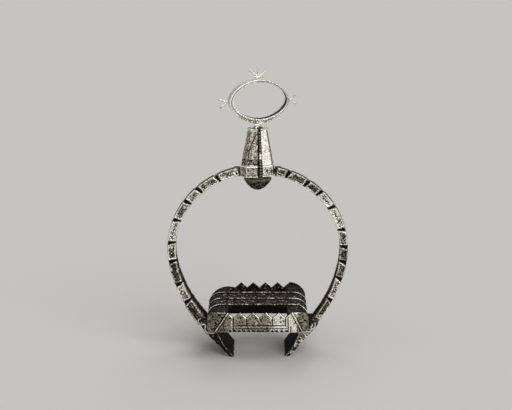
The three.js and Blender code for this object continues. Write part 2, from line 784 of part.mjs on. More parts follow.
const starSeat = rayKnobRadius + fitGap;
const stars = [
  ['finial_top', topRays, eyeShift, eyeCentre + eyeHalfHeight + starSeat, 0],
  ['finial_right', rightRays, eyeShift + eyeHalfWidth + starSeat, eyeCentre, Math.PI / 2],
  ['finial_left', leftRays, eyeShift - eyeHalfWidth - starSeat, eyeCentre, -Math.PI / 2],
];
for (const [name, rays, x, z, lean] of stars) {
  const star = part(name, starGeometry(rays), brightIron);
  star.position.set(x, 0, z);
  star.rotation.y = lean;
  eye.add(star);
}
const footStar = part('finial_foot', starGeometry(footRays), brightIron);
const footStarY = -eyeDepth / 2 - rayKnobRadius - fitGap;
footStar.position.set(0, footStarY, eyeCentre - eyeHalfHeight - footStarDrop);
eye.add(footStar);

const stirrup = new THREE.Group();
stirrup.add(frame, eye);

export default stirrup;
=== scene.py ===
# Swivel-eye riding stirrup of hand-worked iron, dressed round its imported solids.
# A piece is modelled in millimetres and made metres when it is finished.
# X runs across the stirrup, Y through it (the front faces -Y) and Z up from the ground.
import math

import bmesh
import bpy
from mathutils import Matrix, Vector, noise
from mathutils.bvhtree import BVHTree


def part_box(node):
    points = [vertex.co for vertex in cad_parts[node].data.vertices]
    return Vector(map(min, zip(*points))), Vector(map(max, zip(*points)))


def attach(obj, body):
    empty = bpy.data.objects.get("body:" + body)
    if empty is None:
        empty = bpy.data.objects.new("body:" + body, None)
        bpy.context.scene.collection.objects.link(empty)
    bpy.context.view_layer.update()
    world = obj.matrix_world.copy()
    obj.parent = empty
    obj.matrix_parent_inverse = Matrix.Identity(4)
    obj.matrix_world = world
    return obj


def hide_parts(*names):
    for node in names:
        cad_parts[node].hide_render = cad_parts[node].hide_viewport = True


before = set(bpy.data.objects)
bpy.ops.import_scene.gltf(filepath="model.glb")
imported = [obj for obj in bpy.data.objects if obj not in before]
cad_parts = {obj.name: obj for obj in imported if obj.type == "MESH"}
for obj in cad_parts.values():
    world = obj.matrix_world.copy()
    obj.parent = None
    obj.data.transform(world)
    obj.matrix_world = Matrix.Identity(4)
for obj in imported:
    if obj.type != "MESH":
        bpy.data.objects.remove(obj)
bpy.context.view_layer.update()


# The two limbs of the hoop: flat bar of forged iron, drawn out deeper towards the foot. Each
# face is cut across with a chisel into panels, and each panel is chased with a small mark.
# The upper end has a tenon in the collar, the lower end a tongue in the foot plate.
METRE = 1000
bar_thickness = 6.2
bar_upper_depth = 6.6
bar_lower_depth = 10.4
bar_flare_top = 84
bar_flare_bottom = 46
hoop_centre = 80.8
hoop_rise = 65
hoop_mouth = 15.4
hoop_radius = 68.4
limb_foot_height = 20.8
limb_toe_height = 21.2
limb_curves = {"left": (17, 110, 36), "right": (10, 106, 34)}
limb_spreads = {"left": (1.3, 2), "right": (-1, 0.4)}
bar_station_gap = 0.45
bar_columns = 15
cut_depth = 1.4
cut_outer_width = 2.1
cut_inner_width = 1
cut_lean = 1.2
cut_bite = 0.7
panel_crown = 0.25
panel_sink = 0.35
rim_place = 0.6
rim_width = 0.75
rim_drop = 0.4
mark_depth = 0.4
limb_pit_size = 1.1
limb_pit_depth = 0.2
bar_overrun = 4
last_panel_trim = 5
weld_distance = 0.001
wear_and_light_limits = (-0.5, 1.3)
crowded_edges = 8
outer_spread_top = 60
outer_spread_height = 38
inner_spread_top = 95
inner_spread_height = 73


class Value:
    """A socket in a finish's node tree; arithmetic on it adds Math nodes."""

    def __init__(self, tree, socket):
        self.tree = tree
        self.socket = socket

    def node(self, kind, settings, inputs, output=0):
        """Adds a node with its settings and its sockets' values or links."""
        made = self.tree.nodes.new(kind)
        for name, setting in settings.items():
            setattr(made, name, setting)
        for key, given in inputs.items():
            if isinstance(given, Value):
                self.tree.links.new(given.socket, made.inputs[key])
            else:
                made.inputs[key].default_value = given
        return Value(self.tree, made.outputs[output])

    def _math(self, operation, first, second):
        return self.node("ShaderNodeMath", {"operation": operation}, {0: first, 1: second})

    def __add__(self, other):
        return self._math("ADD", self, other)

    def __radd__(self, other):
        return self._math("ADD", other, self)

    def __sub__(self, other):
        return self._math("SUBTRACT", self, other)

    def __rsub__(self, other):
        return self._math("SUBTRACT", other, self)

    def __mul__(self, other):
        return self._math("MULTIPLY", self, other)

    def __rmul__(self, other):
        return self._math("MULTIPLY", other, self)

    def step(self, low, high):
        """A smooth step from 0 at low to 1 at high."""
        return self.node(
            "ShaderNodeMapRange", {"interpolation_type": "SMOOTHSTEP"},
            {"Value": self, "From Min": low, "From Max": high})

    def blend(self, first, second):
        """The colour between first and second at this share."""
        return self.node(
            "ShaderNodeMix", {"data_type": "RGBA"}, {0: self, 6: first, 7: second}, output=2)


def rgb(red, green, blue):
    """A colour from its 0 to 255 values as seen on a screen."""
    return tuple((share / 255) ** 2.2 for share in (red, green, blue)) + (1,)


def iron(name, deep, plain, warm, bright, pit_size, pit_share, blotch_share):
    """Worked iron: dark in its hollows, grey on its flats and rubbed bright on its high places.

    The attribute read here holds the rubbing and, on some pieces, painted highlight and painted
    shade; pebbles, blotches and pits break it up.
    """
    material = bpy.data.materials.new(name)
    material.use_nodes = True
    tree = material.node_tree
    shader = tree.nodes["Principled BSDF"]
    place = Value(tree, tree.nodes.new("ShaderNodeTexCoord").outputs["Object"])
    wear_and_light = place.node("ShaderNodeAttribute", {"attribute_name": "wear_and_light"}, {}, output="Fac")
    blotch = place.node("ShaderNodeTexNoise", {}, {
        "Vector": place, "Scale": METRE / 3, "Detail": 4.0, "Roughness": 0.65}).step(0.3, 0.7)
    tint = place.node("ShaderNodeTexNoise", {}, {
        "Vector": place, "Scale": METRE / 11, "Detail": 2.0, "Roughness": 0.5})
    grain = place.node("ShaderNodeTexNoise", {}, {
        "Vector": place, "Scale": METRE / 0.9, "Detail": 2.0, "Roughness": 0.6}).step(0.3, 0.7)
    pits = place.node("ShaderNodeTexNoise", {}, {
        "Vector": place, "Scale": METRE / pit_size, "Detail": 1.0,
        "Roughness": 0.5}).step(0.54, 0.64)
    worn = wear_and_light + (blotch - 0.5) * blotch_share - pits * pit_share + (grain - 0.5) * 0.35
    flats = worn.step(-0.05, 0.42)
    heights = worn.step(0.45, 0.9)
    body = tint.step(0.45, 0.65).blend(plain, warm)
    colour = heights.blend(flats.blend(deep, body), bright)
    relief = place.node("ShaderNodeBump", {}, {
        "Height": worn * 0.5 + grain * 0.3, "Strength": 0.7, "Distance": 0.0005})
    shader.inputs["Specular IOR Level"].default_value = 0.1
    for socket, given in (("Base Color", colour), ("Normal", relief),
                          ("Roughness", 0.75 - heights * 0.45),
                          ("Metallic", flats * 0.4 + heights * 0.4)):
        tree.links.new(given.socket, shader.inputs[socket])
    return material


bright_iron = iron(
    "bright_iron", rgb(15, 13, 10), rgb(114, 109, 94), rgb(110, 99, 85), rgb(240, 238, 230),
    pit_size=1.5, pit_share=0.5, blotch_share=0.5)


def box_of(node):
    """The lowest and highest corner of a CAD node in millimetres."""
    low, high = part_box(node)
    return low * METRE, high * METRE


def swept(ring, stations, turn, place):
    """A tube with ring points round it and stations along it, put where place(along, count) says.

    A tube that turns full circle is closed on itself; any other is closed by a cap at each end.
    The spun ring only joins the vertices up, so its place and size don't matter.
    """
    shape = bmesh.new()
    around = shape.verts.layers.int.new("around")
    wear_and_light = shape.verts.layers.float.new("wear_and_light")
    circle = bmesh.ops.create_circle(shape, segments=ring, radius=1)["verts"]
    for count, vert in enumerate(circle):
        vert[around] = count
    bmesh.ops.translate(shape, vec=(10, 0, 0), verts=circle)
    full = turn > 2 * math.pi - 0.001
    bmesh.ops.spin(
        shape, geom=shape.verts[:] + shape.edges[:], cent=(0, 0, 0), axis=(0, 1, 0),
        angle=turn, steps=stations, use_merge=full)
    for vert in shape.verts:
        angle = math.atan2(-vert.co.z, vert.co.x)
        if angle < -0.5 * turn / stations:
            angle += 2 * math.pi
        vert.co, vert[wear_and_light] = place(round(angle * stations / turn) / stations, vert[around])
    if not full:
        bmesh.ops.holes_fill(shape, edges=shape.edges, sides=ring)
    bmesh.ops.remove_doubles(shape, verts=shape.verts, dist=weld_distance)
    return shape


def bar_section(columns):
    """A bar's section as shares across and through it, with -1, 0 or 1 for front, side or rear."""
    shares = [count / (columns - 1) for count in range(columns)]
    front = [(share, -1, -1) for share in shares]
    rear = [(share, 1, 1) for share in reversed(shares)]
    return front + [(1, -0.33, 0), (1, 0.33, 0)] + rear + [(0, 0.33, 0), (0, -0.33, 0)]


def finished(shape, name, body, nodes, finish, tone=None, edge_wear=0.5, crease=30):
    """Makes a shape the named piece that rides on a body and stands for its CAD nodes.

    Without a tone the shape's own values of rub and painted light are kept; edges raise them and
    inner corners lower them.
    Edges that crowd together at one vertex count no more than a few do.
    """
    bmesh.ops.recalc_face_normals(shape, faces=shape.faces)
    wear_and_light = shape.verts.layers.float.get("wear_and_light") or shape.verts.layers.float.new("wear_and_light")
    for vert in shape.verts:
        base = vert[wear_and_light] if tone is None else tone
        bend = sum(edge.calc_face_angle_signed(0) for edge in vert.link_edges)
        bend *= min(1, crowded_edges / max(1, len(vert.link_edges)))
        vert[wear_and_light] = min(wear_and_light_limits[1], max(wear_and_light_limits[0], base + edge_wear * bend))
    bmesh.ops.scale(shape, vec=(1 / METRE,) * 3, verts=shape.verts)
    mesh = bpy.data.meshes.new(name)
    shape.to_mesh(mesh)
    shape.free()
    mesh.shade_smooth()
    mesh.set_sharp_from_angle(angle=math.radians(crease))
    mesh.materials.append(finish)
    piece = bpy.data.objects.new(name, mesh)
    bpy.context.scene.collection.objects.link(piece)
    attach(piece, body)
    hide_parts(*nodes)
    return piece


def held(share):
    """A share held between 0 and 1."""
    return min(1, max(0, share))


def pit(x, y, z, size):
    """How deep the iron is pitted at a place, from 0 to 1, by pits of about a given size."""
    return held(3 * noise.noise(Vector((x, y, z)) / size) - 0.3)


def mark(kind, along, across):
    """How deep a chased mark is at a place of a panel, from 0 to 1; lengths from its middle."""
    if kind == "ring":
        return 1 - abs(math.hypot(along, across) - 1.5) / 0.5
    if kind == "wedge":
        return 1 - abs(abs(across) * 1.6 + along) / 0.6 if -2.6 < along < 1.2 else 0
    if kind == "cross":
        return 1 - min(abs(along - across), abs(along + across)) / 0.5 if abs(along) < 2 else 0
    if kind == "dots":
        offs = [math.hypot(along - shift, across + shift / 3) for shift in (-2, 0, 2)]
        return 1 - min(offs) / 0.8
    return 1 - abs(across - 0.5 * math.sin(along * 2)) / 0.45


def limb_point(word, angle, inset):
    """Distance out and height of a limb's curve where it faces an angle, inset from outside."""
    ease, ease_radius, bend = limb_curves[word]
    radius = ease_radius if angle < -ease else hoop_radius
    rise = hoop_rise if angle > 0 else radius
    shift = math.radians(ease)
    turn = math.radians(angle)
    return Vector((
        (hoop_radius - radius) * math.cos(shift) + (radius - inset) * math.cos(turn),
        hoop_centre + (radius - hoop_radius) * math.sin(shift) + (rise - inset) * math.sin(turn)))


def limb(word, side, cut_angles, tones_and_light, marks, slant):
    """One limb on the given side, from the collar to the foot."""
    ease, ease_radius, bend = limb_curves[word]
    outer_spread, inner_spread = limb_spreads[word]
    start = math.degrees(math.acos(hoop_mouth / hoop_radius))
    upper_length = math.radians(start + ease) * hoop_radius
    curve_length = upper_length + math.radians(bend - ease) * ease_radius
    straight = Vector((-math.sin(math.radians(bend)), -math.cos(math.radians(bend))))
    foot = limb_point(word, -bend, 0)
    length = curve_length + (limb_foot_height - foot.y) / straight.y + bar_overrun

    def way_of(angle):
        if angle > -ease:
            return math.radians(start - angle) * hoop_radius
        return upper_length + math.radians(-ease - angle) * ease_radius

    cuts = [way_of(angle) for angle in cut_angles]
    ends = [0] + cuts + [length - last_panel_trim]
    section = bar_section(bar_columns)

    def place(along, count):
        way = along * length
        across, depth_share, face = section[count]
        angle = start - math.degrees(way / hoop_radius)
        if way > upper_length:
            angle = -ease - math.degrees((min(way, curve_length) - upper_length) / ease_radius)
        beyond = max(0, way - curve_length)
        level = limb_point(word, angle, 0).y + straight.y * beyond
        flare = held((bar_flare_top - level) / (bar_flare_top - bar_flare_bottom))
        half = (bar_upper_depth + (bar_lower_depth - bar_upper_depth) * flare) / 2
        inset = across * bar_thickness * (1 - slant * flare * (1 - depth_share) / 2)
        inset += across * inner_spread * held((inner_spread_top - level) / inner_spread_height)
        inset -= (1 - across) * outer_spread * held((outer_spread_top - level) / outer_spread_height)
        y = depth_share * half
        wear_and_light = 0.15 if across < 0.5 else -0.05
        if face:
            leaned = way + cut_lean * (across - 0.5)
            cut_width = cut_outer_width + (cut_inner_width - cut_outer_width) * across
            cut = max(1 - abs(leaned - place_of) / cut_width for place_of in cuts)
            panel = sum(1 for place_of in cuts if leaned > place_of)
            middle = (ends[panel] + ends[panel + 1]) / 2
            edge = abs(across - 0.5) * 2
            border = min(-cut * 1.5, (1 - edge) * bar_thickness / 2)
            cut = max(0, cut)
            rim = max(0, 1 - abs(border - rim_place) / rim_width)
            wave = noise.noise(Vector((way * 0.45, across * 2.5, side * 5)))
            dent = (1 - rim) * pit(way, across * bar_thickness, side * 9 + face, limb_pit_size)
            hollow = max(0, mark(marks[panel], way - middle, (across - 0.5) * bar_thickness))
            if border < 1:
                hollow = 0
            floor_drop = panel_sink * held(border - 0.8) * (0.6 + wave)
            y = half - cut * cut_depth - hollow * mark_depth - panel_crown * edge ** 4
            y -= floor_drop + limb_pit_depth * dent
            inset += cut_bite * cut * max(0, 1 - across * 3)
            if across in (0, 1):
                y -= rim_drop
            # A panel's tone is partly its wear and partly painted highlight and painted shade.
            wear_and_light = tones_and_light[panel] - 0.02 + 0.32 * rim - 1.5 * cut - 0.7 * hollow - 0.5 * dent
            wear_and_light += 0.45 * wave * (1 - rim)
            if across < 0.05:
                wear_and_light = 0.1
            y *= face
        spot = limb_point(word, angle, inset) + straight * beyond
        return (side * spot.x, y, spot.y), wear_and_light

    shape = swept(len(section), round(length / bar_station_gap), math.pi, place)
    toe = foot + straight * (limb_toe_height - foot.y) / straight.y
    foot_low, foot_high = box_of(f"foot_{word}")
    reach = foot_high.x if side > 0 else -foot_low.x
    run = Vector((toe.x - reach, 0, limb_toe_height - limb_foot_height))
    for point, away in (
            ((0, 0, limb_foot_height), (0, 0, -1)),
            ((side * toe.x, 0, limb_toe_height), (side * run.z, 0, -run.x))):
        bmesh.ops.bisect_plane(
            shape, geom=shape.verts[:] + shape.edges[:] + shape.faces[:], plane_co=point,
            plane_no=away, clear_outer=True)
        bmesh.ops.holes_fill(shape, edges=shape.edges, sides=0)
    return shape


# Each limb's panel tones mix the iron's own wear with painted light: panels facing the key light are
# set bright as painted highlights, the others darker as painted shade.
limbs = {
    "left": limb(
        "left", -1, [63, 48, 36.5, 21.5, 5, -8, -21.5, -29.5],
        [0.65, 0.6, 0.65, 0.5, 0.8, 0.6, 0.3, 0.7, 0.3],
        ["cross", "line", "wedge", "dots", "line", "cross", "wedge", "ring", "line"], 0.28),
    "right": limb(
        "right", 1, [70, 56, 45, 32, 14.5, 2, -8.5, -16.5, -26.5],
        [0.45, 0.38, 0.42, 0.9, 0.95, 0.6, 0.3, 0.35, 0.7, 0.3],
        ["wedge", "cross", "wedge", "line", "line", "dots", "ring", "wedge", "dots", "cross"], 0.19),
}
wire_solids = {}
for word, shape in limbs.items():
    wire_solids[word] = [BVHTree.FromBMesh(shape)]
    finished(
        shape, f"limb_{word}_bar", "frame", [f"limb_{word}"], bright_iron,
        edge_wear=0.25)


# The lower end of each limb: a web spread over the foot plate, a lug that carries the tread's
# flange, and a tongue let into the foot. Thin curled wires are brazed along the bar's end and
# the web's edge. The upper end has a shank and a tenon in the collar.
foot_height = box_of("foot_left")[1].z
foot_half_depth = box_of("foot_left")[1].y
tongue_bottom = box_of("limb_left")[0].z
tongue_width = 10.1
lug_bottom = 24.2
lug_top = box_of("tread_body")[0].z
foot_bend_height = 9.3
foot_bend_width = 4.2
foot_top_width = 9
foot_sole_width = 3.2
foot_reaches = {"left": (21.2, 40.22), "right": (23.8, 41.18)}
tenon_size = (8.4, 4.6, 3.4)
shank_size = (4.5, 5.4, 6.4)
tenon_level = 141.02
tenon_reach = 13.3
shank_reach = 15.1
lug_outer = 34.3
lug_inner = 28.4
seat_gap = 0.05
toe_tuck = 0.1
web_x = 38.05
web_top = 27
web_edge_top = 21.8
web_half_depth = box_of("limb_left")[1].y
web_tone = -0.25
web_shine = 0.35
web_strip = 4
line_radius = 0.5
wire_start = 40
web_reach = 41


def foot_outer(word, level):
    """How far out a foot plate's outer face is at a level."""
    sole, top = foot_reaches[word]
    return sole + (top - sole) * level / foot_height


def foot_inner(word, level):
    """How far out a foot plate's inner face is at a level, with its bend part way up."""
    if level < foot_bend_height:
        share = level / foot_bend_height
        width = foot_sole_width + (foot_bend_width - foot_sole_width) * share
    else:
        share = (level - foot_bend_height) / (foot_height - foot_bend_height)
        width = foot_bend_width + (foot_top_width - foot_bend_width) * share
    return foot_outer(word, level) - width


def wire(path, face, solids):
    """A thin round wire along a path in X and Z, laid on the front (-1) or rear (1) of solids."""
    lengths = [0]
    for start, end in zip(path, path[1:]):
        lengths.append(lengths[-1] + math.dist(start, end))
    total = lengths[-1]

    def seat(way):
        way = min(total, max(0, way))
        leg = max(i for i in range(len(path) - 1) if lengths[i] <= way + 0.0001)
        share = (way - lengths[leg]) / (lengths[leg + 1] - lengths[leg])
        x, z = Vector(path[leg]).lerp(Vector(path[leg + 1]), share)
        hits = [solid.ray_cast((x, face * wire_start, z), (0, -face, 0))[0] for solid in solids]
        over_foot = z < web_edge_top and abs(x) < web_reach
        reaches = [foot_half_depth if over_foot else tongue_width / 2]
        reaches += [face * hit.y for hit in hits if hit]
        return Vector((x, face * (max(reaches) + line_radius / 4), z))

    def place(along, count):
        way = along * total
        ahead = (seat(way + line_radius) - seat(way - line_radius)).normalized()
        level = ahead.cross(Vector((0, 1, 0.3)).normalized()).normalized()
        upright = level.cross(ahead)
        angle = 2 * math.pi * count / 8
        end_distance = min(way, total - way)
        radius = line_radius * min(1, 0.35 + end_distance / line_radius)
        return seat(way) + (level * math.cos(angle) + upright * math.sin(angle)) * radius, 0.95

    return swept(8, max(8, round(total / 0.5)), math.pi, place)


def web(word, side, outer_foot, outer_top):
    """A web: the hull of its outline at the bar and its outlines over the foot's two corners."""
    middle = [(web_x, limb_foot_height), (outer_foot - toe_tuck, limb_toe_height),
              (outer_top, web_top), (web_x, web_top)]
    reach = foot_outer(word, foot_height)
    end = [(web_x, limb_foot_height), (reach, limb_foot_height),
           (reach, web_edge_top), (web_x, web_edge_top)]
    shape = bmesh.new()
    for outline, y in ((middle, tongue_width / 2), (end, web_half_depth)):
        for x, z in outline:
            for face in (-1, 1):
                shape.verts.new((side * x, face * y, z))
    hull = bmesh.ops.convex_hull(shape, input=shape.verts)
    inside = [part for part in hull["geom_interior"] if isinstance(part, bmesh.types.BMVert)]
    bmesh.ops.delete(shape, geom=inside, context="VERTS")
    bmesh.ops.dissolve_limit(
        shape, angle_limit=math.radians(1), verts=shape.verts, edges=shape.edges)
    bmesh.ops.triangulate(shape, faces=shape.faces)
    bmesh.ops.subdivide_edges(shape, edges=shape.edges, cuts=15, use_grid_fill=True)
    wear_and_light = shape.verts.layers.float.new("wear_and_light")
    for vert in shape.verts:
        x, y, z = vert.co
        share = max(0, (abs(y) - tongue_width / 2) / (web_half_depth - tongue_width / 2))
        edge = outer_foot + (reach - outer_foot) * share
        near = held((web_strip - (edge - abs(x))) / 0.6)
        vert[wear_and_light] = web_tone + 0.6 * noise.noise(vert.co * 0.8) + web_shine * near
    return shape


def carried(shape, corners, by):
    """Adds a block to a shape: a face with the given corners, carried along a way."""
    face = shape.faces.new([shape.verts.new(corner) for corner in corners])
    deep = bmesh.ops.extrude_face_region(shape, geom=[face])["geom"]
    new = [part for part in deep if isinstance(part, bmesh.types.BMVert)]
    bmesh.ops.translate(shape, vec=by, verts=new)
    return list(face.verts) + new


for word, side in (("left", -1), ("right", 1)):
    bend = limb_curves[word][2]
    slope = math.tan(math.radians(bend))
    outer_bend, inner_bend = (limb_point(word, -bend, inset) for inset in (0, bar_thickness))
    outer_foot = outer_bend.x - (outer_bend.y - limb_toe_height) * slope
    inner_foot = inner_bend.x - (inner_bend.y - lug_top) * slope
    toe = bmesh.new()
    outline = [
        (outer_foot - toe_tuck, limb_toe_height),
        (foot_outer(word, limb_foot_height), limb_foot_height),
        (foot_outer(word, tongue_bottom), tongue_bottom),
        (foot_inner(word, tongue_bottom), tongue_bottom),
        (foot_inner(word, limb_foot_height), limb_foot_height),
        (lug_outer, limb_foot_height), (lug_outer, lug_bottom), (lug_inner, lug_bottom),
        (lug_inner, lug_top - seat_gap), (inner_foot + toe_tuck, lug_top - seat_gap),
    ]
    carried(toe, [(side * x, -tongue_width / 2, z) for x, z in outline], (0, tongue_width, 0))
    bmesh.ops.bevel(
        toe, geom=toe.edges[:], offset=0.3, segments=1, profile=0.5, affect="EDGES", material=-1)
    for size, reach in ((tenon_size, tenon_reach), (shank_size, shank_reach)):
        bar = bmesh.ops.create_cube(toe, size=1)["verts"]
        bmesh.ops.scale(toe, vec=size, verts=bar)
        bmesh.ops.translate(toe, vec=(side * reach, 0, tenon_level), verts=bar)
    finished(toe, f"limb_{word}_toe", "frame", [f"limb_{word}"], bright_iron,
             tone=-0.3, edge_wear=0.1)
    outer_top = outer_bend.x - (outer_bend.y - web_top) * slope - bar_thickness / 2
    shape = web(word, side, outer_foot, outer_top)
    wire_solids[word].append(BVHTree.FromBMesh(shape))
    finished(shape, f"limb_{word}_web", "frame", [f"limb_{word}"], bright_iron,
             edge_wear=0.1)

curls = {
    "left": [
        [(-43.4, 26.8), (-45.2, 25.6), (-45.6, 23.6), (-44.2, 21.9), (-41.6, 24.3), (-39.7, 23.7),
         (-39.9, 22.1), (-38.4, 19.8), (-35.4, 19.3), (-32.3, 19.5)]],
    "right": [
        [(45, 29.3), (45, 27.6), (47, 26.2), (49, 27.1), (49.1, 29.2), (47.3, 28.2), (46.6, 30)],
        [(43.7, 25), (43.6, 22.9), (42.2, 22.1), (40.6, 22.2), (39.5, 20.4), (34.3, 20.3),
         (30.5, 19.5)],
        [(40.6, 22.2), (40.5, 23.1), (41.7, 23.5), (41.4, 24.4)]],
}
for word, paths in curls.items():
    for count, path in enumerate(paths, 1):
        for end, face in (("front", -1), ("rear", 1)):
            finished(
                wire(path, face, wire_solids[word]), f"limb_{word}_curl_{count}_{end}", "frame",
                [f"limb_{word}"], bright_iron, edge_wear=0)


# The feet: wedge plates of cast-looking, deeply pitted iron, thin at the sole and bent part
# way up the inner face. A slot in the middle takes the limb's tongue, held by a cross pin.
foot_slot_half = 5.5
foot_slot_bottom = 11.3
foot_pin_low, foot_pin_high = box_of("foot_pin_left")
foot_pin_level = (foot_pin_low.z + foot_pin_high.z) / 2
foot_pin_radius = (foot_pin_high.z - foot_pin_low.z) / 2
foot_pin_share = 0.6
foot_cheek_share = 0.35
foot_grid = 0.8
foot_face_skin = 0.1

worn_iron = iron(
    "worn_iron", rgb(13, 11, 9), rgb(80, 76, 64), rgb(80, 71, 60), rgb(226, 222, 210),
    pit_size=1.9, pit_share=0.5, blotch_share=0.5)
dark_iron = iron(
    "dark_iron", rgb(8, 7, 6), rgb(30, 27, 21), rgb(31, 26, 20), rgb(110, 104, 88),
    pit_size=1.7, pit_share=0.4, blotch_share=0.7)


def foot(word, side, tone):
    """A foot plate swept from front to rear, its slot cut down where the sweep passes it."""
    steps = 96
    levels = [
        0, 1.5, 3, 4.5, 6, 7.5, foot_bend_height, foot_slot_bottom, 13, 15, 17, 19, foot_height]
    inner = [(foot_inner(word, level), level) for level in levels]
    outer = [(foot_outer(word, level), level) for level in reversed(levels)]
    top = [(inner[-1][0] + foot_top_width * share / 5, foot_height) for share in range(1, 5)]
    sole = [(outer[-1][0] - foot_sole_width / 2, 0)]
    ring = inner + top + outer + sole

    def place(along, count):
        x, level = ring[count]
        slotted = foot_cheek_share < along < 1 - foot_cheek_share
        if slotted:
            y = (along - 0.5) / (0.5 - foot_cheek_share) * foot_slot_half
        else:
            past = min(along, 1 - along) / foot_cheek_share
            y = foot_half_depth - (foot_half_depth - foot_slot_half) * past
            y = math.copysign(y, along - 0.5)
        if slotted and level > foot_slot_bottom:
            low = foot_inner(word, foot_slot_bottom)
            share = held((x - foot_inner(word, level)) / foot_top_width)
            x = low + share * (foot_outer(word, foot_slot_bottom) - low)
            level = foot_slot_bottom
        rough = noise.noise(Vector((x, y, level)) * 0.55)
        wear_and_light = tone + 0.25 * rough
        # The inner face is darkened as painted shade, and its front and rear edges are set fully
        # bright as a painted highlight.
        if count < len(levels):
            x += 0.25 * rough
            wear_and_light = -0.25 + 0.6 * rough if abs(y) < foot_half_depth - foot_face_skin else 1
        return (side * x, y, max(0, level)), wear_and_light

    shape = swept(len(ring), steps, math.pi, place)
    wear_and_light_layer = shape.verts.layers.float["wear_and_light"]
    ends = [face for face in shape.faces if len(face.verts) == len(ring)]
    bmesh.ops.inset_individual(shape, faces=ends, thickness=0.45, depth=0)
    for end in ends:
        for vert in end.verts:
            vert[wear_and_light_layer] = tone
    rows = range(1, math.ceil(foot_height / foot_grid))
    columns = range(24, 54)
    for axis, places in (((0, 0, 1), rows), ((1, 0, 0), columns)):
        for count in places:
            cut_faces = [face for face in shape.faces if abs(face.normal.y) > 0.9]
            edges = {edge for face in cut_faces for edge in face.edges}
            verts = {vert for face in cut_faces for vert in face.verts}
            cut_at = Vector(axis) * foot_grid * count
            cut_at.x *= side
            bmesh.ops.bisect_plane(
                shape, geom=list(verts) + list(edges) + cut_faces, plane_co=cut_at, plane_no=axis)
    for vert in shape.verts:
        inside = all(abs(face.normal.y) > 0.9 for face in vert.link_faces)
        if inside and abs(vert.co.y) > foot_half_depth - foot_face_skin:
            dent = pit(vert.co.x, vert.co.y, vert.co.z, 1.3)
            vert.co.y -= math.copysign(0.35 * dent, vert.co.y)
            vert[wear_and_light_layer] += 0.35 * noise.noise(vert.co * 0.4) - 0.7 * dent
    return shape


# The left foot is given a low tone as painted shade and the right foot a high one as painted light.
for word, side, tone in (("left", -1, 0.12), ("right", 1, 0.68)):
    shape = foot(word, side, tone)
    finished(shape, f"foot_{word}_plate", "frame", [f"foot_{word}"], worn_iron,
             edge_wear=0.2)
    pin = bmesh.new()
    pin_x = foot_inner(word, foot_pin_level)
    pin_x += (foot_outer(word, foot_pin_level) - pin_x) * foot_pin_share
    bmesh.ops.create_cone(
        pin, cap_ends=True, segments=16, radius1=foot_pin_radius, radius2=foot_pin_radius,
        depth=2 * foot_half_depth)
    bmesh.ops.rotate(pin, matrix=Matrix.Rotation(math.pi / 2, 3, "X"), verts=pin.verts)
    caps = [face for face in pin.faces if len(face.verts) > 4]
    bmesh.ops.inset_individual(pin, faces=caps, thickness=0.35, depth=0.25)
    bmesh.ops.translate(pin, vec=(side * pin_x, 0, foot_pin_level), verts=pin.verts)
    finished(pin, f"foot_{word}_pin", "frame", [f"foot_pin_{word}"], dark_iron,
             tone=0.25)


# The tread: a bridge plate of pebbled iron with rounded shoulders, two long slots and three
# raised ridges over its top. Flanges turned in at its lower ends are riveted to the limbs.
tread_half_width = 37.75
tread_top = 40.3
tread_wall = 3.3
tread_plate = 6.3
tread_flange = (5, 2.2)
shoulder_radius = 9.6
shoulder_inner_radius = 5
platform_half_depth = 15.75
slot_half_length = 22
body_half_depth = 34.7
ridge_places = (-14.5, 0, 14.5)
ridge_half_width = 0.62
ridge_height = 0.9
ridge_groove_half = 1.5
crown_bend_length = 10
crown_setback = 2.2
crown_seat_depth = 5
rear_corner_start = 22.6
rear_corner_front = 15.5
rear_corner_run = 12
rear_corner_drop = 2
rear_corner_height = 11.6
platform_edge_half = 0.7
tread_pit_size = 1.2
tread_pit_depth = 0.2
ridge_stand = 0.05
top_columns = 48

tread_iron = iron(
    "tread_iron", rgb(10, 9, 7), rgb(64, 61, 49), rgb(62, 56, 45), rgb(226, 223, 208),
    pit_size=1.3, pit_share=0.4, blotch_share=0.5)


def bent_share(x):
    """How far along the tread's bent-back ends a place is, from 0 to 1."""
    return max(0, abs(x) - (tread_half_width - crown_bend_length)) / crown_bend_length


def rounded(beyond):
    """The drop of a quarter circle of radius 1 at a share of its way out."""
    return 1 - math.sqrt(max(0, 1 - beyond * beyond))


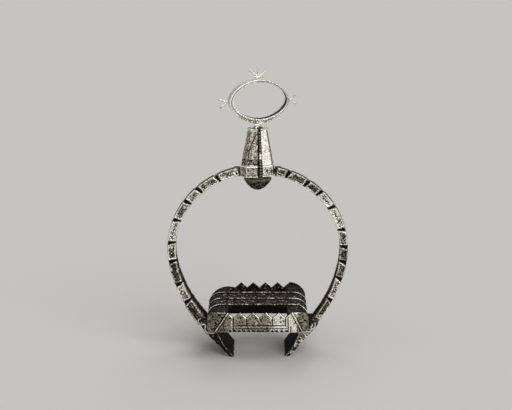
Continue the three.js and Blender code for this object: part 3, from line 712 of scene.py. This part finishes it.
def tread_half(side):
    """Half of the bridge, its section from the flange over the top swept from front to rear."""
    steps = 240
    wall_x = tread_half_width - tread_wall
    under = tread_top - tread_plate
    corner = (tread_half_width - shoulder_radius, tread_top - shoulder_radius)
    nook = (wall_x - shoulder_inner_radius, under - shoulder_inner_radius)
    turns = [math.radians(angle) for angle in range(0, 91, 6)]
    wall_step = (corner[1] - lug_top) / 3
    walk = [(wall_x - tread_flange[0], lug_top, "flange"), (wall_x, lug_top, "flange")]
    walk += [(tread_half_width, lug_top + count * wall_step, "wall") for count in range(3)]
    walk += [
        (corner[0] + shoulder_radius * math.cos(turn),
         corner[1] + shoulder_radius * math.sin(turn), "shoulder") for turn in turns]
    walk += [
        (corner[0] * (1 - count / top_columns), tread_top, "top")
        for count in range(1, top_columns + 1)]
    walk += [(0, under, "under"), (nook[0] / 2, under, "under")]
    walk += [
        (nook[0] + shoulder_inner_radius * math.cos(turn),
         nook[1] + shoulder_inner_radius * math.sin(turn), "under") for turn in reversed(turns)]
    walk += [
        (wall_x, lug_top + tread_flange[1], "under"),
        (wall_x - tread_flange[0], lug_top + tread_flange[1], "under")]

    def place(along, count):
        y = (2 * along - 1) * body_half_depth
        x, z, part = walk[count]
        outside = part in ("wall", "shoulder", "top")
        streak = noise.noise(Vector((side * x * 0.3, y * 1.3, 0)))
        pebble = noise.noise(Vector((side * x * 0.7, y * 2.2, z * 0.7)))
        # Painted shade on the top: it is set darker towards the rear, and darker on the strip in
        # front of the front ridge across the slots' span.
        wear_and_light = (0 if y > 0 else 0.1) + 0.7 * streak + 0.9 * pebble
        if not outside:
            wear_and_light = -0.3 + 0.5 * pebble
        elif y > ridge_places[2]:
            wear_and_light = -0.03 + 0.9 * pebble
        elif y < ridge_places[0]:
            wear_and_light = (0.03 if x > slot_half_length else -0.22) + 0.3 * streak + 0.9 * pebble
        if part == "top":
            z -= tread_pit_depth * pit(side * x, y, 0, tread_pit_size)
        # Each ridge's crest carries a painted highlight, broken up along its length, and stronger on
        # the right shoulder than on the left one.
        for ridge in ridge_places:
            rise = max(0, 1 - (abs(y - ridge) / ridge_half_width) ** 3)
            if outside and rise > 0:
                ridge_patchiness = 0.15 * noise.noise(Vector((side * x * 0.2, ridge, 3)))
                ridge_highlight = 0.75 + 0.15 * side if part == "shoulder" else 0.46 + ridge_patchiness
                wear_and_light = 0.05 + ridge_highlight * rise
                if part == "top":
                    z += ridge_height * rise
                elif part == "shoulder":
                    out = Vector((x - corner[0], z - corner[1])).normalized() * ridge_height * rise
                    x += min(out.x, tread_half_width + ridge_stand - x)
                    z += out.y
            elif outside and abs(y - ridge) < ridge_groove_half:
                wear_and_light -= 0.3
        # The platform's walls at the slots are set dark as painted shade.
        slotted = part in ("top", "under") and abs(y) > platform_half_depth
        if slotted and x < slot_half_length:
            x = slot_half_length
            wear_and_light = -0.08
        if abs(abs(y) - platform_half_depth) < platform_edge_half and x < slot_half_length + 0.1:
            wear_and_light -= 0.25
        if outside and side < 0 and y > rear_corner_front:
            ease = held((y - rear_corner_front) / rear_corner_run)
            beyond = held((x - rear_corner_start) / (tread_half_width - rear_corner_start))
            limit = tread_top - rear_corner_drop - rear_corner_height * rounded(beyond)
            z = min(z, z + (limit - z) * ease)
        seated = (abs(y) - body_half_depth + crown_seat_depth) / crown_seat_depth
        if seated > 0:
            y -= math.copysign(crown_setback * bent_share(x) * seated, y)
        return (side * x, y, z), wear_and_light

    return swept(len(walk), steps, math.pi, place)


tread = tread_half(1)
left_tread = tread_half(-1)
left_mesh = bpy.data.meshes.new("tread_left")
left_tread.to_mesh(left_mesh)
left_tread.free()
tread.from_mesh(left_mesh)
bpy.data.meshes.remove(left_mesh)
seam = [face for face in tread.faces if all(abs(vert.co.x) < 0.01 for vert in face.verts)]
bmesh.ops.delete(tread, geom=seam, context="FACES")
bmesh.ops.remove_doubles(tread, verts=tread.verts, dist=weld_distance)
finished(tread, "tread_bridge", "frame", ["tread_body"], tread_iron, edge_wear=0.15)


# Four rivets hold the tread's flanges down on the limbs' lugs, two at each end. They are of dark
# iron with low cut heads, closed by hammering below the lug.
rivet_x = 31.95
rivet_y = 5
rivet_sink = 0.15
rivet_profile = [
    (0, -3.4), (1.4, -3.4), (2.1, -2.6), (1.2, -2.5), (1.2, 2.5), (2.1, 2.6), (1.5, 3.4), (0, 3.4)]


def turned(profile, sides, lift=0):
    """A shape spun from a profile of radius and height that starts and ends on the axis."""
    shape = bmesh.new()
    points = [shape.verts.new((radius, 0, height + lift)) for radius, height in profile]
    edges = [shape.edges.new(pair) for pair in zip(points, points[1:])]
    bmesh.ops.spin(
        shape, geom=points + edges, cent=(0, 0, 0), axis=(0, 0, 1), angle=2 * math.pi,
        steps=sides, use_merge=True)
    bmesh.ops.remove_doubles(shape, verts=shape.verts, dist=weld_distance)
    return shape


for word, side in (("left", -1), ("right", 1)):
    for end, y in (("front", -rivet_y), ("rear", rivet_y)):
        rivet = turned(rivet_profile, 20, lift=lug_top - rivet_sink)
        bmesh.ops.translate(rivet, vec=(side * rivet_x, y, 0), verts=rivet.verts)
        finished(rivet, f"rivet_{word}_{end}", "frame", [f"tread_rivet_{word}_{end}"],
                 dark_iron, tone=0.2)


# The crown plates: toothed walls brazed to the front and rear of the tread, bent back at both
# ends. The front one is filed bright, engraved with lines and punched; the rear one is dark.
crown_half_depth = box_of("tread_rear_crown")[1].y
crown_thickness = 2.4
crown_top = 41.9
crown_shoulder_top = 42
tooth_pitch = 9.59
tooth_depth = 4.2
tooth_shift = 1.4
notch_count = 5
nick_pitch = 3.5
nick_height = 1.9
nick_half_width = 1.3
nick_count = 13
nick_shift = 0.3
nick_depth = 0.9
crown_rows = 44
crown_lip = 0.15
crown_edge_width = 0.7
crown_edge_drop = 0.45
crown_highlight_width = 0.9
end_columns = 60
tooth_columns = 16
engraved_bands = [((-21.9, 41.8), (-31.7, 27)), ((25.6, 41.8), (33.2, 27))]
engraved_lines = [
    ((-14.5, 31.9), (21, 31.9)), ((-14.5, 29.5), (21, 29.5)), ((-18.1, 38), (-18.3, 26.8)),
    ((22.4, 38.5), (22.7, 26.8)), ((24.6, 31.2), (24.6, 26.8)), ((-8.2, 37.6), (-8.2, 32)),
    ((11, 37.6), (11, 32)), ((20.6, 37.6), (20.6, 32)), ((1.4, 37.6), (2.8, 34.6)),
]
shine_lines = [((-19.2, 38.5), (-19.3, 27)), ((23.5, 40), (23.6, 27)), ((27.2, 40.5), (34.6, 27))]
punches = [
    (-12.8, 38), (-1.5, 38), (17.2, 38.3), (18.9, 35.6), (17, 34.6), (27.6, 34), (-20.6, 37.8),
    (-28.5, 40), (-26.5, 38.4), (-33.2, 38.7), (-31.4, 34.2), (32.3, 34), (35.1, 35.6),
]
punch_size = 0.95
band_half_width = 0.95
line_depth = 0.45
line_half_width = 0.55
out_of_reach = 9


def line_distance(x, z, line):
    """How far a place is from a line between two places, or out of reach past its ends."""
    (x1, z1), (x2, z2) = line
    run = Vector((x2 - x1, z2 - z1))
    at = Vector((x - x1, z - z1))
    if 0 <= at.dot(run) <= run.length_squared:
        return abs(at.cross(run)) / run.length
    return out_of_reach


def corner_height(x, left, right):
    """Top of a crown plate outside its teeth; a corner has its width, height and drop."""
    width, height, drop = left if x < 0 else right
    beyond = max(0, abs(x) - (tread_half_width - width)) / width
    return crown_shoulder_top - drop - height * rounded(beyond)


def crown(face, left, right, engraved):
    """A crown plate on the front (-1) or rear (1), with its left and right corners as given.

    Its outer face is a grid with columns on each tooth and notch, crowded towards both ends, and
    is extruded back to the plate's thickness. The first and last marks are the outer teeth's tips.
    """
    first = tooth_shift - tooth_pitch * (notch_count - 1) / 2
    last = tooth_shift + tooth_pitch * (notch_count - 1) / 2
    marks = [first - tooth_pitch / 2]
    for count in range(notch_count):
        marks += [first + tooth_pitch * count, first + tooth_pitch * (count + 0.5)]
    left_run = tread_half_width + marks[0]
    right_run = tread_half_width - marks[-1]
    turns = [math.pi / 2 * count / end_columns for count in range(end_columns + 1)]
    columns = [left_run * (1 - math.cos(turn)) - tread_half_width for turn in turns[:-1]]
    for start, end in zip(marks, marks[1:]):
        columns += [
            start + (end - start) * count / tooth_columns for count in range(tooth_columns)]
    columns += [marks[-1] + right_run * math.sin(turn) for turn in turns]

    def top_at(x):
        if first - tooth_pitch / 2 < x < last + tooth_pitch / 2:
            phase = abs((x - first) / tooth_pitch - round((x - first) / tooth_pitch)) * 2
            peak = crown_top
            if x < first:
                peak = corner_height(marks[0], left, right)
            elif x > last:
                peak = corner_height(marks[-1], left, right)
            return crown_top - tooth_depth + (peak - crown_top + tooth_depth) * phase
        return corner_height(x, left, right)

    def nick_at(x, z):
        off = abs(x - nick_shift - nick_pitch * round((x - nick_shift) / nick_pitch))
        if abs(x - nick_shift) > nick_pitch * (nick_count - 0.5) / 2:
            return 0
        return max(0, 1 - math.hypot(off / nick_half_width, (z - lug_top) / nick_height)) ** 0.5

    # Across the front plate the bent-back ends are set darker as painted shade and the right half
    # lighter as painted light, over the plate's own tone.
    def tone_and_light_at(x):
        if x < -24:
            return 0.2
        if x > 29:
            return 0.32
        return 0.42 + 0.45 * held((x - 7) / 7)

    # A painted highlight along the top edge: strong on the teeth's right-facing slopes, weak on
    # their left-facing ones, milder on the shoulders.
    def edge_highlight_at(x):
        phase = (x - first) / tooth_pitch
        if first - tooth_pitch / 2 < x < last + tooth_pitch / 2:
            return 0.6 if phase < round(phase) else 0.15
        return 0.3 if abs(x) < 30 else 0

    shape = bmesh.new()
    wear_and_light = shape.verts.layers.float.new("wear_and_light")
    bmesh.ops.create_grid(
        shape, x_segments=len(columns) - 1, y_segments=crown_rows, size=1)
    for vert in shape.verts:
        column = round((vert.co.x + 1) / 2 * (len(columns) - 1))
        share = (vert.co.y + 1) / 2
        x = columns[column]
        low, high = lug_top, top_at(x)
        z = low + (high - low) * share
        rim = min(high - z, z - low + 0.4, (tread_half_width - abs(x)) * 1.5)
        dent = pit(x, z, face, 1)
        y = crown_half_depth - crown_setback * bent_share(x) - 0.2 * dent
        bright = tone_and_light_at(x) + 0.2 * noise.noise(Vector((x, z, 4)) * 0.5) - 0.25 * dent
        if rim < crown_edge_width:
            y -= crown_edge_drop * (1 - rim / crown_edge_width)
        if high - z < crown_highlight_width:
            bright += edge_highlight_at(x) * (1 - (high - z) / crown_highlight_width) ** 0.5
        if engraved:
            offs = [line_distance(x, z, line) for line in engraved_lines]
            for band in engraved_bands:
                off = line_distance(x, z, band)
                offs.append(abs(off - band_half_width))
                bright += 0.45 * max(0, 1 - off / band_half_width)
            for line in shine_lines:
                bright += 0.35 * max(0, 1 - line_distance(x, z, line) / line_half_width)
            groove = max(0, 1 - min(offs) / line_half_width)
            hole = max(0, 1 - min(math.hypot(x - at, z - up) for at, up in punches) / punch_size)
            y -= line_depth * (groove + hole)
            bright -= 1.2 * groove + 1.5 * hole
            nick = nick_at(x, z)
            y -= nick_depth * nick
            bright -= 2.5 * nick
        else:
            # The rear plate is held low and darkened: partly its plain iron, partly painted shade.
            bright = min(bright, 0.6) - 0.45
        vert.co = (x, face * y, z)
        vert[wear_and_light] = bright
    layer = shape.faces[:]
    for level in ("lip", "back"):
        grown = bmesh.ops.extrude_face_region(shape, geom=layer)["geom"]
        layer = [part for part in grown if isinstance(part, bmesh.types.BMFace)]
        for vert in [part for part in grown if isinstance(part, bmesh.types.BMVert)]:
            vert[wear_and_light] = -0.4
            if level == "back" and not engraved:
                vert[wear_and_light] = 0.9 * noise.noise(vert.co * 0.9) - 0.03
            if level == "lip":
                vert.co.y -= face * crown_lip
            else:
                setback = crown_setback * bent_share(vert.co.x)
                vert.co.y = face * (crown_half_depth - crown_thickness - setback)
    return shape


filed_iron = iron(
    "filed_iron", rgb(14, 12, 9), rgb(141, 135, 119), rgb(137, 127, 111), rgb(242, 240, 232),
    pit_size=1.2, pit_share=0.25, blotch_share=0.15)

finished(
    crown(-1, (5.5, 5.5, 0), (5.5, 5.5, 0), True), "crown_front", "frame", ["tread_front_crown"],
    filed_iron, edge_wear=0.1)
finished(
    crown(1, (15.1, 11.6, 3.5), (12.3, 11, 0), False), "crown_rear", "frame",
    ["tread_rear_crown"], worn_iron, edge_wear=0.1)


# The collar: a ten-sided block of iron that takes both limbs' tenons, with the swivel pin
# through its middle. Its front right facet carries a painted highlight and two punched stars.
section_shares = [
    (0.155, -0.56), (0.77, -0.48), (1, 0), (0.77, 0.48), (0.155, 0.56),
    (-0.155, 0.56), (-0.77, 0.48), (-1, 0), (-0.77, -0.48), (-0.155, -0.56),
]
# Facet tones round the sleeve from the front right facet, by the right, rear and left, to the front
# flat: the bright front right facet is a painted highlight and the darker narrow facet to its right
# is painted shade, over the iron's own tones.
facet_tones_and_light = [1.02, 0.38, 0.34, 0.36, 0.34, 0.38, 0.34, 0.55, 0.6, -0.1]
collar_tones_and_light = [0.8] + facet_tones_and_light[1:]
neck_lines = [
    ((-1, 170), (-5.6, 160.5)), ((-5.6, 160.5), (-8, 148.8)), ((-8.2, 158.2), (-6.1, 158))]
neck_line_half = 0.4
neck_line_depth = 0.3
left_swell = 1.07
facet_steps = 20
front_facet_share = 0.62
star_punches = [(0.43, 142.4), (0.84, 141.6)]
punch_radius = 1.9
punch_depth = 0.5
facet_edge_drop = 0.12
facet_pit_size = 0.9
neck_turn = math.radians(16)
collar_bottom = 137.8
collar_top = 146.2
collar_half_width = 13
collar_low_chamfer = 0.4
collar_high_chamfer = 0.5
collar_row = 0.33
bore_radius = 2.95


def punched(share, z, width):
    """How deep a star punch is at a place of the front right facet, from 0 to 1."""
    deepest = 0
    for punch_share, level in star_punches:
        along, up = (share - punch_share) * width * front_facet_share, z - level
        arm = 0.6 + 0.4 * math.cos(5 * math.atan2(up, along))
        deepest = max(deepest, 1 - math.hypot(along, up) / (punch_radius * arm))
    return deepest


def faceted(levels, bore, tones_and_light, starred=False):
    """A ten-sided sleeve round a bore: levels give half width, height and rub, from the bottom."""
    walk = [(bore, levels[0][1], 0.1)] + levels + [(bore, levels[-1][1], 0.1)]
    sides = len(section_shares)

    def place(along, count):
        width, z, wear_and_light = walk[count]
        step = round(along * sides * facet_steps) % (sides * facet_steps)
        side, share = divmod(step, facet_steps)
        share /= facet_steps
        (x1, y1), (x2, y2) = section_shares[side], section_shares[(side + 1) % sides]
        spot = Vector((x1 + (x2 - x1) * share, y1 + (y2 - y1) * share))
        if count in (0, len(walk) - 1):
            spot = spot.normalized()
        else:
            banded = wear_and_light < 0.3
            # The facet's tone adds painted highlight and painted shade here.
            wear_and_light += tones_and_light[side] - 0.4
            dent = pit(spot.x * width, spot.y * width, z, facet_pit_size)
            wear_and_light += 0.2 * noise.noise(Vector((spot.x * width, spot.y * width, z)) * 0.5)
            wear_and_light -= (0.35 * share + 0.15) * pit(share * 9, side, z * 0.5, 1)
            if tones_and_light[side] < 1:
                wear_and_light -= (1.6 if banded else 0.3) * dent
                spot *= 1 - (0.35 if banded else 0.1) / width * dent
            elif banded:
                wear_and_light = tones_and_light[side]
            if share == 0:
                spot *= 1 - facet_edge_drop / width
                wear_and_light += 0.2
            if starred and side == 0:
                star = punched(share, z, width)
                spot *= 1 - punch_depth / width * star
                wear_and_light -= 2.6 * star
        spot *= width
        spot.rotate(Matrix.Rotation(neck_turn, 2))
        if spot.x < 0 and count not in (0, len(walk) - 1):
            spot.x *= left_swell
            if spot.y < 0 and not starred:
                near = min(line_distance(spot.x, z, line) for line in neck_lines)
                line_share = max(0, 1 - near / neck_line_half)
                spot.y += neck_line_depth * line_share
                wear_and_light -= 1.1 * line_share
        return (spot.x, spot.y, z), wear_and_light

    return swept(len(walk), sides * facet_steps, 2 * math.pi, place)


collar_levels = [
    (collar_half_width - collar_low_chamfer, collar_bottom, 0.5),
    (collar_half_width, collar_bottom + collar_low_chamfer, 0.75)]
collar_levels += [
    (collar_half_width, collar_bottom + collar_low_chamfer + collar_row * row, 0.4)
    for row in range(1, 22)]
collar_levels += [
    (collar_half_width, collar_top - collar_high_chamfer, 0.8),
    (collar_half_width - collar_high_chamfer, collar_top, 0.8)]
finished(
    faceted(collar_levels, bore_radius, collar_tones_and_light, starred=True), "collar_block", "frame",
    ["collar"], filed_iron, edge_wear=0.15, crease=20)


# The neck: a drawn-in ten-sided sleeve over the pin, with a dark engraved band at its foot,
# and a thin cap plate over it. Its facets are filed flat, their edges rubbed bright.
neck_bottom = 146.5
neck_top = 172.5
neck_widths = (12.3, 7.4)
neck_rows = 64
neck_chamfers = (0.3, 0.2)
neck_band_shares = (0.02, 0.2)
neck_band_sink = 0.1
cap_profile = [(7.6, 0.3, 0.5), (7.9, 0.6, 0.8), (7.9, 1.2, 0.8), (7.5, 1.5, 0.8)]

neck_levels = [(neck_widths[0] - neck_chamfers[0], neck_bottom, 0.5)]
for row in range(1, neck_rows):
    share = row / neck_rows
    banded = neck_band_shares[0] < share < neck_band_shares[1]
    half_width = neck_widths[0] + (neck_widths[1] - neck_widths[0]) * share
    neck_levels.append((
        half_width - (neck_band_sink if banded else 0),
        neck_bottom + (neck_top - neck_bottom) * share, 0.29 if banded else 0.42))
neck_levels.append((neck_widths[1] - neck_chamfers[1], neck_top, 0.8))
cap_levels = [(half_width, neck_top + height, wear_and_light) for half_width, height, wear_and_light in cap_profile]
finished(
    faceted(neck_levels, bore_radius, facet_tones_and_light), "neck_shell", "frame", ["neck_sleeve"],
    filed_iron, edge_wear=0.15, crease=20)
finished(
    faceted(cap_levels, bore_radius, facet_tones_and_light), "neck_plate", "frame", ["neck_cap"],
    bright_iron, edge_wear=0.15, crease=14)


# Beaded strips up the front and rear flats of the collar and the neck: a narrow base let into
# the flat, with a row of small round beads soldered along it.
strip_half_width = 1.1
strip_flat_share = 0.56
strip_stand = 0.3
strip_thickness = 0.5
strip_trim = 0.4
strip_foot_gap = 0.5
bead_radius = 0.85
bead_pitch = 2.1
bead_seat = 0.45
large_beads = (151.6, 155.4)


def strip(turn):
    """A strip in two runs, over the collar and up the neck, turned about the pin's axis."""
    shape = bmesh.new()
    wear_and_light = shape.verts.layers.float.new("wear_and_light")
    collar_y, neck_y, top_y = (
        half_width * strip_flat_share + strip_stand
        for half_width in (collar_half_width, neck_widths[0], neck_widths[1]))
    runs = [((collar_y, collar_bottom + strip_trim), (collar_y, neck_bottom + strip_trim)),
            ((neck_y, neck_bottom + strip_foot_gap), (top_y, neck_top - strip_trim))]
    for (y1, z1), (y2, z2) in runs:
        outline = [(y1, z1), (y1 + strip_thickness, z1), (y2 + strip_thickness, z2), (y2, z2)]
        corners = [(-strip_half_width, -y, z) for y, z in outline]
        for vert in carried(shape, corners, (2 * strip_half_width, 0, 0)):
            vert[wear_and_light] = -0.3
        length = math.hypot(y2 - y1, z2 - z1)
        count = round(length / bead_pitch)
        for bead in range(count):
            share = (bead + 0.5) / count
            level = z1 + (z2 - z1) * share
            large = large_beads[0] < level < large_beads[1]
            beads = bmesh.ops.create_uvsphere(
                shape, u_segments=12, v_segments=8,
                radius=bead_radius * (1.25 if large else 0.85))["verts"]
            bmesh.ops.scale(shape, vec=(1, 0.75, 1.1), verts=beads)
            bmesh.ops.translate(
                shape, vec=(0, -(y1 + (y2 - y1) * share) - bead_seat, level), verts=beads)
            for vert in beads:
                vert[wear_and_light] = 1.1 if large else 0.36
    bmesh.ops.rotate(shape, matrix=Matrix.Rotation(neck_turn + turn, 3, "Z"), verts=shape.verts)
    return shape


for word, turn in (("front", 0), ("rear", math.pi)):
    finished(strip(turn), f"beads_{word}", "frame", [f"bead_strip_{word}"],
             filed_iron, edge_wear=0.05, crease=50)


# The swivel pin, the thin washer under the collar, and the pin's faceted dome head, all of dark
# oxidised iron. The pin's upper end is peened over inside the foot of the strap eye.
eye_turn = math.radians(12.5)
pin_profile = [
    (0, 132.3), (2.6, 132.3), (2.6, 177.5), (1.6, 177.6), (1.6, 180.6), (1.2, 181.1), (0, 181.1)]
dome_profile = [
    (0, 126.6), (2.6, 127.2), (5.23, 128.52), (8.5, 131.59), (10.36, 134.28), (10.75, 135.9),
    (10.5, 136.2), (0, 136.2)]
washer_ring = [(3, 136.5), (6.8, 136.5), (7, 136.7), (7, 137.3), (6.8, 137.5), (3, 137.5)]
dome_depth_share = 0.75

finished(turned(pin_profile, 24), "pin", "strap_eye", ["swivel_pin"], dark_iron,
         tone=0.3)
dome = turned(dome_profile, 10)
bmesh.ops.rotate(
    dome, matrix=Matrix.Rotation(math.pi / 10, 3, "Z"), verts=dome.verts)
bmesh.ops.scale(dome, vec=(1, dome_depth_share, 1), verts=dome.verts)
bmesh.ops.rotate(dome, matrix=Matrix.Rotation(eye_turn, 3, "Z"), verts=dome.verts)
bmesh.ops.bevel(
    dome, geom=dome.edges[:], offset=0.15, segments=1, profile=0.5, affect="EDGES", material=-1)
finished(dome, "dome", "strap_eye", ["dome_head"], dark_iron, tone=0.2,
         edge_wear=0.6)


def washer_place(along, count):
    """A place on the washer and its rub."""
    angle = 2 * math.pi * along
    radius, z = washer_ring[count]
    return (radius * math.cos(angle), radius * math.sin(angle), z), 0.15


finished(swept(len(washer_ring), 40, 2 * math.pi, washer_place), "washer", "strap_eye",
         ["swivel_washer"], dark_iron)


# The strap eye: an oval band of iron forged thin, with a groove cut round its front edge and
# pebbled patches at its foot and shoulder. It turns with the pin in the neck.
eye_centre = 194.2
eye_half = (22.4, 16.4)
eye_half_depth = 4.1
eye_power = 2 / 1.82
eye_middle = 0.5
eye_opening_shift = 0.8
eye_opening_half = (20.3, 13.8)
eye_opening_rise = 0.7
eye_steps = 240
eye_section = bar_section(13)
eye_groove_share = 0.12
eye_groove_depth = 0.35
eye_crown = 0.25
eye_patches = ((45, 100), (222, 300))
eye_dot_turn = 5
eye_dot_rows = 0.28


def oval(angle, half, middle, centre):
    """A place on an oval a little fuller than an ellipse, from its half width and height."""
    across, up = math.cos(angle), math.sin(angle)
    return Vector((
        middle + half[0] * math.copysign(abs(across) ** eye_power, across),
        centre + half[1] * math.copysign(abs(up) ** eye_power, up)))


def eye_place(along, count):
    """A place on the eye's band and its rub, with the groove and the patches of dots."""
    angle = 2 * math.pi * along
    share, depth, face = eye_section[count]
    outer = oval(angle, eye_half, eye_middle, eye_centre)
    inner = oval(
        angle, eye_opening_half, eye_middle + eye_opening_shift, eye_centre + eye_opening_rise)
    spot = outer.lerp(inner, share)
    y = depth * eye_half_depth
    # The inner wall of the opening is set darker than the outer edge as painted shade.
    wear_and_light = 0.75 if share < 0.5 else 0
    if face:
        groove = max(0, 1 - abs(share - 0.5) / eye_groove_share)
        edge = abs(share - 0.5) * 2
        y -= face * (eye_groove_depth * groove + eye_crown * edge ** 4)
        wear_and_light = 0.85 + 0.2 * noise.noise(Vector((spot.x, spot.y, face)) * 0.8) - 0.8 * groove
        if any(start < math.degrees(angle) < end for start, end in eye_patches):
            row_turn = math.pi if share > 0.5 else 0
            off_row = abs(abs(share - 0.5) - eye_dot_rows)
            dot = math.cos(angle * 360 / eye_dot_turn + row_turn) - off_row * 6
            wear_and_light -= 0.1 + 1.1 * max(0, dot)
    turned_spot = Vector((spot.x, y))
    turned_spot.rotate(Matrix.Rotation(eye_turn, 2))
    return (turned_spot.x, turned_spot.y, spot.y), wear_and_light


finished(swept(len(eye_section), eye_steps, 2 * math.pi, eye_place), "eye_band", "strap_eye",
         ["eye_ring"], filed_iron, edge_wear=0.15, crease=40)


# The star finials: a small knob with thin drawn-out rays, each ending in a filed ball, brazed
# on the eye at its top, both sides and the front of its foot. Each has its name, the knob's
# place, its lean in degrees and its rays' angles and lengths.
ray_root = 0.85
ray_tip = 0.68
knob_radius = 1
star_seat = 1.3
star_reach = eye_half[0] + star_seat
stars = [
    ("top", (eye_middle, 0, eye_centre + eye_half[1] + star_seat), 0,
     [(50, 8.7), (6, 7.5), (-50, 8.2), (78, 4), (-78, 3.2)]),
    ("right", (eye_middle + star_reach, 0, eye_centre), 90, [(40, 5.4), (-32, 5.2)]),
    ("left", (eye_middle - star_reach, 0, eye_centre), -90, [(38, 6.2), (-22, 6.4)]),
    ("foot", (0, -5.4, 177.2), 0,
     [(128, 3.4), (85, 3.4), (40, 2.8), (-5, 3.2), (-50, 2.8), (-115, 5.2)]),
]

for word, spot, lean, rays in stars:
    star = bmesh.new()
    bmesh.ops.create_uvsphere(star, u_segments=14, v_segments=10, radius=knob_radius)
    for angle, length in rays:
        ray = bmesh.ops.create_cone(
            star, cap_ends=True, segments=10, radius1=ray_root, radius2=ray_tip,
            depth=length)["verts"]
        bmesh.ops.translate(star, vec=(0, 0, length / 2), verts=ray)
        ball = bmesh.ops.create_uvsphere(
            star, u_segments=10, v_segments=7, radius=ray_tip * 1.4)["verts"]
        bmesh.ops.translate(star, vec=(0, 0, length - ray_tip * 0.4), verts=ball)
        bmesh.ops.rotate(
            star, matrix=Matrix.Rotation(-math.radians(angle), 3, "Y"), verts=ray + ball)
    bmesh.ops.rotate(star, matrix=Matrix.Rotation(math.radians(lean), 3, "Y"), verts=star.verts)
    bmesh.ops.translate(star, vec=spot, verts=star.verts)
    bmesh.ops.rotate(star, matrix=Matrix.Rotation(eye_turn, 3, "Z"), verts=star.verts)
    finished(star, f"star_{word}", "strap_eye", [f"finial_{word}"], filed_iron,
             tone=0.78, edge_wear=0.02)


# The room: a pale floor and soft studio suns, the strongest at the front right. Each sun has
# its name, height, heading and spread in degrees, and strength. The camera looks slightly down
# at the front of the stirrup.
floor_shade = rgb(186, 185, 181)
floor_dark = tuple(share * 0.97 for share in floor_shade[:3]) + (1,)
floor_half = 4000
camera_place = (-1.28, -1000, 376)
camera_tilt = 14.637
focal_pixels = 1371.97
photo_width = 512
suns = [
    ("key", 38, 34, 46, 2.1),
    ("fill", 35, -50, 70, 0.4),
    ("back", 60, 165, 40, 0.8),
]

floor_shape = bmesh.new()
bmesh.ops.create_grid(floor_shape, x_segments=1, y_segments=1, size=floor_half / METRE)
floor_mesh = bpy.data.meshes.new("floor")
floor_shape.to_mesh(floor_mesh)
floor_shape.free()
paper = bpy.data.materials.new("paper")
paper.use_nodes = True
paper_tree = paper.node_tree
paper_shader = paper_tree.nodes["Principled BSDF"]
paper_place = Value(paper_tree, paper_tree.nodes.new("ShaderNodeTexCoord").outputs["Object"])
paper_grain = paper_place.node("ShaderNodeTexNoise", {}, {
    "Vector": paper_place, "Scale": 900.0, "Detail": 2.0})
paper_shade = paper_grain.blend(floor_shade, floor_dark)
paper_tree.links.new(paper_shade.socket, paper_shader.inputs["Base Color"])
paper_shader.inputs["Roughness"].default_value = 0.9
floor_mesh.materials.append(paper)
floor = bpy.data.objects.new("floor", floor_mesh)
bpy.context.scene.collection.objects.link(floor)

for name, height, heading, spread, strength in suns:
    lamp = bpy.data.lights.new(name, "SUN")
    lamp.energy = strength
    lamp.angle = math.radians(spread)
    holder = bpy.data.objects.new(name, lamp)
    holder.rotation_euler = (math.radians(90 - height), 0, math.radians(heading))
    bpy.context.scene.collection.objects.link(holder)

world = bpy.data.worlds.new("studio")
world.use_nodes = True
world.node_tree.nodes["Background"].inputs["Color"].default_value = (1, 1, 1, 1)
world.node_tree.nodes["Background"].inputs["Strength"].default_value = 0.4
bpy.context.scene.world = world

lens = bpy.data.cameras.new("front")
lens.sensor_width = 36
lens.lens = focal_pixels * lens.sensor_width / photo_width
camera = bpy.data.objects.new("front", lens)
camera.location = Vector(camera_place) / METRE
camera.rotation_euler = (math.radians(90 - camera_tilt), 0, 0)
bpy.context.scene.collection.objects.link(camera)
bpy.context.scene.camera = camera
bpy.context.scene.view_settings.view_transform = "Standard"
